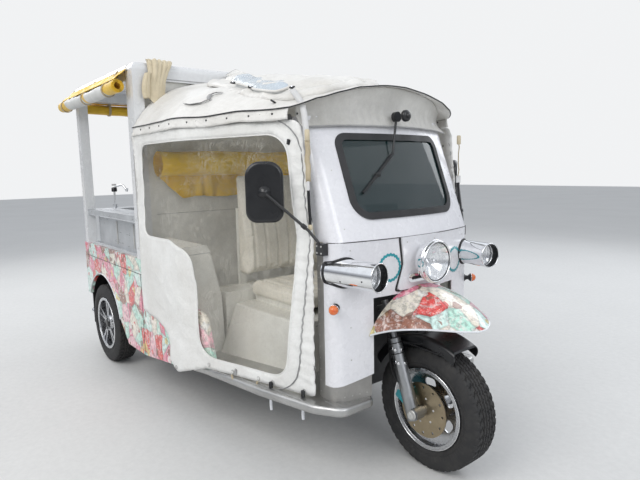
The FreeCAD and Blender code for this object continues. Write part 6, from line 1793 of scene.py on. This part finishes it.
def make_curtain_fittings():
    for word, side in SIDES:
        rings = []
        for x, z in ((1.212, 0.306), (1.455, 0.372), (1.6, 0.368), (1.746, 0.368), (1.824, 0.368),
                (1.989, 0.368)):
            centre = curtain_at(x, z, side, 0.003)
            rings.append(ring_points(centre, (0, 1, 0), 0.0085, 20))
        cord_piece("hem_eyelets_" + word, rings, 0.0022, "stainless", closed=True, sides=1)
        stop = curtain_at(1.945, 1.395, side, 0.004)
        rounded_box("zip_stop_" + word, stop, (0.016, 0.009, 0.022), "black_plastic", turn=(0, 0.3, 0))
        pull = curtain_at(1.62, 0.372, side, 0.006)
        rounded_box("zip_pull_" + word, pull, (0.012, 0.006, 0.03), "grey_trim", 0.002, turn=(0, 0.2, 0))
        # What hangs in the gap beside the windscreen: a beige roller, a strap, a buckle and a tube
        x, y = 2.046, side * 0.475
        lathe("gap_roller_" + word, ((0.0, 0.045), (0.007, 0.0445), (0.01, 0.041), (0.01, 0.004),
            (0.007, 0.0005), (0.0, 0.0)), at(x, y, 1.393), (0, 0, 1), "beige", 24)
        line = [at(x + 0.002 * sin(k), y + side * 0.002 * sin(k * 1.7), 1.398 - 0.16 * k / 10)
            for k in range(11)]
        strap("gap_strap_" + word, line, 0.02, (0.7, side * 0.7, 0), "tan_webbing", 0.0022)
        rounded_box("gap_buckle_" + word, at(x, y, 1.222), (0.01, 0.022, 0.036), "webbing",
            turn=(0, 0, -0.8 * side))
        pin = [at(x, y + side * 0.007, z) for z in (1.212, 1.232)]
        cord_piece("gap_pin_" + word, [pin], 0.0025, "stainless", order=2, resolution=1)
        tube = [at(x, y, 1.206), at(x + 0.001, y, 1.16), at(x + 0.003, y - side * 0.002, 1.1),
            at(x + 0.004, y - side * 0.002, 1.068)]
        cord_piece("gap_tube_" + word, [tube], 0.006, "black_plastic", sides=3)
        lathe("gap_stub_" + word, ((0.0, 0.0), (0.007, 0.001), (0.0085, 0.005), (0.0085, 0.02),
            (0.006, 0.022)), at(x + 0.004, y - side * 0.002, 1.049), (0, 0, 1), "beige", 20)
        spots = [side_spot("canopy", 0.86 + 0.06 * k, side, 1.508) for k in range(19)]
        studs("canopy_screws_" + word, [(p + n * 0.002, n) if p else (p, n) for p, n in spots], 0.0045,
            "black_plastic")


# Box: seams, screws, counter fittings, trim of the printed sides
def seam_over(node, x, y, way):
    """A dark joint line up the rail's outer face, over its round edge and across its top."""
    way = Vector(way)
    line = []
    for k in range(6):
        line += laid(node, [at(x, y, BOX_TOP - 0.088 + 0.01 * k) - way], way, 0.0002)
    for k in range(9):
        a = radians(5 + 80 * k / 8)
        centre = at(x, y, BOX_TOP - 0.044) + way * 0.044
        line += laid(node, [centre - way * cos(a) * 0.5 + Vector((0, 0, sin(a) * 0.5))],
            way * cos(a) - Vector((0, 0, sin(a))), 0.0002)
    line += laid(node, [at(x, y, BOX_TOP + 0.5) + way * (0.05 + 0.01 * k) for k in range(5)], (0, 0, -1),
        0.0002)
    return line


ARCH_R = 0.3395


def make_box_details():
    lines = []
    for side in (-1, 1):
        for x in (BOX_REAR + 0.1, BOX_FRONT - 0.1):
            lines.append(seam_over("box_frame", x, side * BODY_HALF, (0, -side, 0)))
        for x, way in ((BOX_FRONT, -1), (BOX_REAR, 1)):
            lines.append(seam_over("box_frame", x, side * (BODY_HALF - 0.105), (way, 0, 0)))
    cord_piece("rail_seams", lines, 0.0021, "black_paint", sides=1, resolution=2)
    low = laid("box_frame", evenly(at(1.6, -0.6, BOX_TOP - 0.084), at(1.6, 0.6, BOX_TOP - 0.084), 20),
        (-1, 0, 0), 0.0006)
    cord_piece("front_rail_seal", [low], 0.0024, "grey_trim", sides=1)
    spots = []
    for side in (-1, 1):
        for x in (BOX_REAR + 0.03, BOX_REAR + 0.07, BOX_FRONT - 0.03, BOX_FRONT - 0.07):
            for z in (BOX_TOP - 0.075, 0.86, 1.02, 1.3, 1.58):
                spots.append(side_spot("box_frame", x, side, z))
        for z in (BOX_TOP - 0.05, 1.6, 1.3, 1.02):
            spots.append(rear_spot("box_frame", side * (BODY_HALF - 0.032), z, BOX_REAR - 1))
    studs("box_screws", spots, 0.0042, "stainless")
    # Printed sides: a black strip in the upright joint, a white lip round the wheel arch
    for word, side in SIDES:
        joint = [at(BOX_FRONT - 0.068, side * (BODY_HALF - 0.0006), z) for z in (0.24, 0.35, 0.5, 0.62,
            0.7115)]
        level = [at(x, side * (BODY_HALF - 0.0006), 0.712) for x in (BOX_REAR + 0.045, 0.0, 0.3,
            BOX_FRONT - 0.07)]
        cord_piece("side_joints_" + word, [joint, level], 0.0022, "rubber", sides=1)
        lip = []
        for k in range(49):
            a = radians(150 - 134 * k / 48)
            spot, normal = side_spot("side_panels", cos(a) * ARCH_R, side, 0.27 + sin(a) * ARCH_R)
            if spot is not None:
                lip.append(spot + normal * 0.001)
        cord_piece("arch_lip_" + word, [lip], 0.0046, "panel", sides=2, resolution=2)
        spots = [side_spot("side_panels", x, side, z) for x, z in ((-0.3, 0.69), (0.16, 0.69), (0.66, 0.69),
            (0.66, 0.45), (0.66, 0.27), (0.8, 0.66), (1.02, 0.6), (0.8, 0.3), (1.06, 0.33), (-0.3, 0.775),
            (0.1, 0.775), (0.48, 0.775))]
        studs("side_screws_" + word, spots, 0.0036, "panel")
        make_counter_details(word, side)


def make_counter_details(word, side):
    for k, x in enumerate((0.165, 0.47)):
        spot, normal = side_spot("counter", x, side, 0.9)
        rounded_box("counter_rib_%s_%d" % (word, k), spot + normal * 0.002, (0.012, 0.006, 0.15), "stainless",
            0.002)
    spots = [side_spot("counter", x, side, 1.02) for x in (-0.17, 0.1, 0.36, 0.62)]
    studs("fascia_screws_" + word, spots, 0.0035, "stainless")
    edge = laid("counter", evenly(at(-0.2, side, 1.004), at(0.68, side, 1.004), 12), (0, -side, 0), 0.0)
    cord_piece("fascia_bead_" + word, [edge], 0.0028, "counter_steel", sides=1)


def make_tap_details():
    low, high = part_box("tap")
    stem = at(-0.18, low.y + 0.018, high.z - 0.052)
    lathe("tap_knob", ((0.0, 0.03), (0.012, 0.029), (0.0185, 0.024), (0.019, 0.006), (0.0175, -0.002),
        (0.0165, -0.002)), stem, (0, 0, 1), "black_plastic", 28)
    tip = at(-0.18 + 0.095, low.y + 0.018 + 0.055, 1.0415 + 0.12)
    lathe("tap_nozzle", ((0.0095, 0.018), (0.0095, 0.002), (0.0085, -0.004), (0.006, -0.004)), tip,
        (0.1, 0.1, 1), "chrome", 24)


# Floor: ribs of the running boards, rivets of the kick panels
def make_floor_details():
    for word, side in SIDES:
        ribs = []
        for k in range(9):
            offset = 0.265 + 0.022 * k
            points = evenly(at(2.085, side * offset, 0.6), at(2.186, side * offset, 0.6), 8)
            line = [p for p in laid("floor_pan", points, (0, 0, -1), 0.0006) if p.z > 0.343]
            if len(line) > 3:
                ribs.append(line)
        for k in range(4):
            points = evenly(at(1.36, side * (0.655 - 0.018 * k), 0.6), at(2.02, side * (0.56 - 0.018 * k),
                0.6), 26)
            line = [p for p in laid("floor_pan", points, (0, 0, -1), 0.0006) if p.z > 0.343]
            if len(line) > 6:
                ribs.append(line)
        cord_piece("board_ribs_" + word, ribs, 0.0016, "tread_plate", sides=1, resolution=2)
        spots = [side_spot("kick_panels", 2.04, side, 0.372 + 0.048 * k) for k in range(12)]
        spots += [front_spot("kick_panels", side * (0.285 + 0.034 * k), 0.366, 2.6) for k in range(4)]
        studs("kick_rivets_" + word, spots, 0.0026, "stainless")


# Mirrors, wiper and what is seen through the windscreen
def make_mirror_details():
    outline = rounded_loop(((-0.069, -0.114), (0.069, -0.114), (0.069, 0.114), (-0.069, 0.114)),
        (0.041, 0.041, 0.055, 0.055), 0.012)
    for word, side in SIDES:
        turn = radians(37)
        facing = Vector((cos(turn), side * sin(turn), 0))
        across = Vector((-facing.y, facing.x, 0))
        head = at(NOSE_FRONT_X - 0.256, side * (NOSE_HALF + 0.181), BELT_Z + 0.2) - facing * 0.007
        back = head - facing * 0.03
        verts = []
        for share, out in ((1.0, 0.0), (1.0, 0.0018), (0.94, 0.0024), (0.6, 0.0026), (0.25, 0.0027)):
            verts += [back - facing * out + across * p.x * share + Vector((0, 0, p.y * share))
                for p in outline]
        count = len(outline)
        faces = ring_faces(5, count)
        faces.append(tuple(4 * count + k for k in range(count)))
        new_piece("mirror_glass_" + word, verts, faces, "mirror", smooth=False)
        rim = [back - facing * 0.0008 + across * p.x * 1.045 + Vector((0, 0, p.y * 1.03)) for p in outline]
        cord_piece("mirror_rim_" + word, [rim], 0.0026, "black_plastic", closed=True, sides=2)
        boss = head - facing * 0.001
        lathe("mirror_boss_" + word, ((0.0, 0.017), (0.009, 0.016), (0.012, 0.012), (0.0185, 0.011),
            (0.0195, 0.006), (0.024, 0.005), (0.025, 0.001), (0.025, -0.004)), boss, facing, "black_plastic",
            24)
        foot = at(NOSE_FRONT_X - 0.115, side * (NOSE_HALF + 0.018), BELT_Z - 0.015)
        bolts = [(foot + Vector((dx, side * 0.01, dz)), Vector((0, side, 0))) for dx in (-0.013, 0.013)
            for dz in (-0.025, 0.002)]
        studs("mirror_bolts_" + word, bolts, 0.0042, "stainless", steps=6)
        collar = at(NOSE_FRONT_X - 0.14, side * (NOSE_HALF + 0.058), BELT_Z + 0.05)
        way = (head - collar).normalized()
        lathe("mirror_collar_" + word, ((0.0068, 0.0), (0.0095, 0.002), (0.0095, 0.02), (0.0068, 0.023)),
            collar + way * 0.012, way, "black_plastic", 16)


def make_wiper_details():
    pivot = at(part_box("wiper")[1].x - AXLE_X - 0.0105, 0.012, 1.505)
    lathe("wiper_motor_cover", ((0.0, 0.0125), (0.012, 0.012), (0.02, 0.0095), (0.0245, 0.004),
        (0.025, -0.008), (0.0235, -0.009)), pivot, (1, 0, 0), "black_plastic")
    lathe("wiper_pivot_cap", ((0.0, 0.02), (0.006, 0.0195), (0.009, 0.016), (0.0095, 0.011)), pivot,
        (1, 0, 0), "black_steel", 20)
    points = []
    for k in range(12):
        spot, normal = front_spot("windscreen_glass", -0.048 - 0.2 * k / 11, 1.34 - 0.15 * k / 11, 2.6)
        if spot is not None:
            points.append(spot + Vector((0.0035, 0, 0)))
    cord_piece("wiper_rubber", [points], 0.0026, "rubber", sides=1)
    middle = points[len(points) // 2] + Vector((0.01, 0, 0))
    rounded_box("wiper_clip", middle, (0.012, 0.026, 0.016), "black_plastic", turn=(0.0, 0.35, -0.5))
    spots = [front_spot("windscreen_surround", y, z, 2.6) for y, z in ((-0.37, 1.05), (0.37, 1.05),
        (-0.36, 1.28), (0.36, 1.28))]
    studs("surround_screws", spots, 0.003, "stainless")


def slice_middle(node, low_y, high_y):
    """Middle of a CAD node's vertices whose y is between two values."""
    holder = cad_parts[node]
    found = [holder.matrix_world @ v.co for v in holder.data.vertices]
    found = [p for p in found if low_y <= p.y <= high_y]
    return sum(found, Vector((0, 0, 0))) / len(found)


def make_bar_details():
    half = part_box("handlebar")[1].y
    for word, side in SIDES:
        tip = slice_middle("handlebar", *sorted((side * 0.325, side * (half + 0.001))))
        root = slice_middle("handlebar", *sorted((side * 0.17, side * 0.26)))
        way = (tip - root).normalized()
        tip = tip + way * 0.004
        ridges = [(0.0155 + (0.0012 if k % 2 else 0.0), -0.1 + 0.1 * k / 24) for k in range(25)]
        profile = [(0.013, -0.103)] + ridges + [(0.013, 0.003), (0.0, 0.004)]
        lathe("grip_" + word, profile, tip, way, "rubber", 24, body="steering")
        clamp = tip - way * 0.112
        lathe("lever_clamp_" + word, ((0.013, 0.0), (0.0185, 0.002), (0.0185, 0.016), (0.013, 0.018)), clamp,
            way, "alloy", 20, body="steering")
        lever = [clamp + way * 0.009 + Vector((0.018, 0, 0.0)),
            clamp + way * 0.018 + Vector((0.036, 0, 0.001)), clamp + way * 0.055 + Vector((0.042, 0, -0.003)),
            clamp + way * 0.095 + Vector((0.036, 0, -0.006)),
            clamp + way * 0.108 + Vector((0.034, 0, -0.006))]
        cord_piece("lever_" + word, [lever], 0.0042, "alloy", sides=2, body="steering")


def make_dial():
    """A round blank dial on the dashboard, and a white disc on its stalk behind the glass."""
    dial = at(2.115, 0.0, 1.0)
    lathe("dial_pod", ((0.0, 0.05), (0.03, 0.05), (0.04, 0.05), (0.044, 0.054), (0.047, 0.05), (0.046, 0.02),
        (0.034, -0.001)), dial, (-0.45, 0, 0.9), "black_plastic", 40)
    lathe("dial_face", ((0.0, 0.0512), (0.0385, 0.0512), (0.039, 0.0505)), dial, (-0.45, 0, 0.9), "panel", 36)
    needle = dial + Vector((-0.45, 0, 0.9)).normalized() * 0.0525
    cord_piece("dial_needle", [[needle, needle + Vector((0.01, 0.018, 0.005))]], 0.0009, "teal", order=2,
        sides=1)
    disc = at(2.005, -0.282, 1.32)
    out = Vector((0.3, -1.0, 0.0)).normalized()
    lathe("screen_disc", ((0.0, 0.0035), (0.03, 0.0035), (0.0345, 0.0025), (0.035, 0.0), (0.0, -0.001)), disc,
        out, "panel", 36)
    end = touch("windscreen_surround", disc, (0, -1, 0))[0]
    cord_piece("screen_disc_stalk", [[disc, disc.lerp(end, 0.5) + Vector((0.003, 0, 0.004)), end]], 0.0035,
        "black_plastic", sides=2)


def make_inside_joints():
    """Lid joints and locks of the side lockers, the seat base's joint and the rear wall's folds."""
    lines, spots = [], []
    for side in (-1, 1):
        for ends, count, way in (((0.83, 0.0), (1.2, 0.0)), 8, (0, side, 0)), (((2.0, side * 0.46),
                (2.0, side * 0.64)), 6, (-1, 0, 0)):
            points = evenly(at(*ends[0], 0.872), at(*ends[1], 0.872), count)
            lines.append(laid("side_lockers", points, way, 0.0004))
        spots.append(touch("side_lockers", at(1.02, 0, 0.78), (0, side, 0)))
    cord_piece("locker_joints", lines, 0.0016, "grey_trim", sides=1)
    studs("locker_locks", spots, 0.011, "chrome")
    front = laid("seat_base", evenly(at(2.4, -0.26, 0.56), at(2.4, 0.26, 0.56), 10), (-1, 0, 0), 0.0004)
    cord_piece("seat_base_joint", [front], 0.0016, "grey_trim", sides=1)
    folds = [laid("bulkhead", evenly(at(1.2, -0.58, z), at(1.2, 0.58, z), 14), (-1, 0, 0), 0.0006)
        for z in (1.6, 1.05)]
    cord_piece("bulkhead_folds", folds, 0.002, "stainless", sides=1)


# Fork, caliper and running gear
FORK_LEAN = tan(radians(19.4))
LEG_Y = 0.12


def leg_spot(z, y):
    return at(WHEELBASE - 0.01 - (z - 0.235) * FORK_LEAN, y, z)


def make_fork_details():
    spots = []
    for side in (-1, 1):
        for z in (0.467, 0.521):
            for dx, dy in ((1.0, 0.0), (0.5, side * 0.85)):
                way = Vector((-dx, -dy, 0))
                spots.append(touch("fork", leg_spot(z, side * LEG_Y) - way.normalized() * 0.2, way))
        for z in (0.47, 0.524):
            spots.append(touch("fork", leg_spot(z, side * LEG_Y) + Vector((0, side * 0.3, 0)), (0, -side, 0)))
    studs("fork_clips", spots, 0.0068, "chrome", "steering", steps=12)
    rings = []
    for side in (-1, 1):
        for z in (0.5, 0.542, 0.563):
            axis = Vector((-FORK_LEAN, 0, 1)).normalized()
            rings.append(ring_points(leg_spot(z, side * LEG_Y), axis, 0.0285, 24))
    cord_piece("fork_rings", rings, 0.002, "rubber", closed=True, sides=1, body="steering")
    for word, side in SIDES:
        hexagon("axle_nut_" + word, at(WHEELBASE, side * 0.1495, WHEEL_R), (0, side, 0), 0.0165, 0.012,
            "stainless", body="steering")
        lathe("axle_washer_" + word, ((0.01, 0.0026), (0.021, 0.0022), (0.0215, 0.0)),
            at(WHEELBASE, side * 0.1482, WHEEL_R), (0, side, 0), "stainless", 24, body="steering")
    low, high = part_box("brake_caliper")
    middle = (low + high) / 2
    spots = [touch("brake_caliper", Vector((middle.x + dx, low.y - 0.2, middle.z + dz)), (0, 1, 0))
        for dx, dz in ((-0.022, 0.018), (0.02, -0.022), (0.0, 0.0))]
    studs("caliper_bolts", spots, 0.0062, "stainless", "steering", steps=6)
    holes = []
    disc_low, disc_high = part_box("front_brake_disc")
    centre = (disc_low + disc_high) / 2
    for k in range(6):
        a = tau * (k + 0.25) / 6
        holes.append(touch("front_brake_disc", Vector((centre.x + cos(a) * 0.056, disc_low.y - 0.2,
            centre.z + sin(a) * 0.056)), (0, 1, 0)))
    studs("disc_bolts", holes, 0.0052, "stainless", "front_wheel", steps=6)


def make_under_details():
    """U-bolts of the leaf springs, fins and bolts of the drive unit, screws of the flaps and the bumper."""
    axle_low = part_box("rear_axle")[0]
    for word, side in SIDES:
        y = side * 0.44
        loops = []
        for x in (-0.035, 0.035):
            loops.append([at(x, y - 0.03, axle_low.z + 0.035), at(x, y - 0.03, 0.3), at(x, y - 0.026, 0.335),
                at(x, y + 0.026, 0.335), at(x, y + 0.03, 0.3), at(x, y + 0.03, axle_low.z + 0.035)])
        cord_piece("spring_bolts_" + word, loops, 0.0045, "alloy", sides=2)
    low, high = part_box("drive_unit")
    x0, x1 = low.x - AXLE_X, high.x - AXLE_X
    for k in range(6):
        x = x0 + 0.03 + (x1 - x0 - 0.06) * k / 5
        rounded_box("drive_fin_%d" % k, at(x, 0, low.z - 0.001), (0.007, high.y - low.y - 0.03, 0.012),
            "cast", 0.0025)
    spots = [side_spot("drive_unit", x, side, z, 0.5) for side in (-1, 1) for x in (x0 + 0.02, x1 - 0.02)
        for z in (low.z + 0.03, high.z - 0.03)]
    studs("drive_bolts", spots, 0.0075, "stainless", steps=6)
    spots = [rear_spot("mud_flaps", side * y, 0.54, -0.6) for side in (-1, 1) for y in (0.56, 0.6, 0.64)]
    studs("flap_screws", spots, 0.005, "stainless")
    spots = [rear_spot("rear_bumper", side * y, z, -0.8) for side in (-1, 1) for y in (0.3, 0.5)
        for z in (0.27, 0.41)]
    studs("bumper_bolts", spots, 0.0065, "stainless", steps=6)


# Rear: a blank plate in its frame, panel rivets and latches
def make_rear_details():
    plate = at(BOX_REAR - 0.0035, 0, 0.52)
    rounded_box("plate_blank", plate, (0.0016, 0.27, 0.16), "panel", 0.0007)
    frame_loop = rounded_loop(((-0.137, -0.082), (0.137, -0.082), (0.137, 0.082), (-0.137, 0.082)),
        [0.01] * 4, 0.02)
    cord_piece("plate_frame", [[plate + Vector((-0.001, p.x, p.y)) for p in frame_loop]], 0.003,
        "black_plastic", closed=True, sides=2)
    lamp = [at(BOX_REAR - 0.012, y, 0.612) for y in (-0.045, 0.0, 0.045)]
    cord_piece("plate_lamp", [lamp], 0.0085, "black_plastic", sides=3)
    studs("plate_screws", [(at(BOX_REAR - 0.0043, y, 0.52), Vector((-1, 0, 0))) for y in (-0.125, 0.125)],
        0.005, "stainless")
    spots = [rear_spot("rear_panel", -0.6 + 1.2 * k / 10, z) for k in range(11) for z in (0.45, 0.78)]
    studs("rear_rivets", spots, 0.0032, "stainless")
    for word, side in SIDES:
        latch = at(BOX_REAR - 0.006, side * 0.38, 0.74)
        rounded_box("latch_plate_" + word, latch, (0.006, 0.06, 0.03), "stainless", 0.002)
        bar = [latch + Vector((-0.006, -0.02, 0)), latch + Vector((-0.014, -0.012, 0)),
            latch + Vector((-0.014, 0.012, 0)), latch + Vector((-0.006, 0.02, 0))]
        cord_piece("latch_pull_" + word, [bar], 0.0032, "chrome", sides=2)


make_camera()
make_ties()
make_stage()
finish_cad_nodes()
make_seat()
make_curtains()
make_curtain_fittings()
make_canopy()
make_bundle()
make_roof_straps()
make_cover_piece()
make_awnings()
make_drape()
make_wheel_parts()
make_nose_trim()
make_lamps()
make_signal_details()
make_guard_edge()
make_box_details()
make_tap_details()
make_floor_details()
make_mirror_details()
make_wiper_details()
make_bar_details()
make_dial()
make_inside_joints()
make_fork_details()
make_under_details()
make_rear_details()
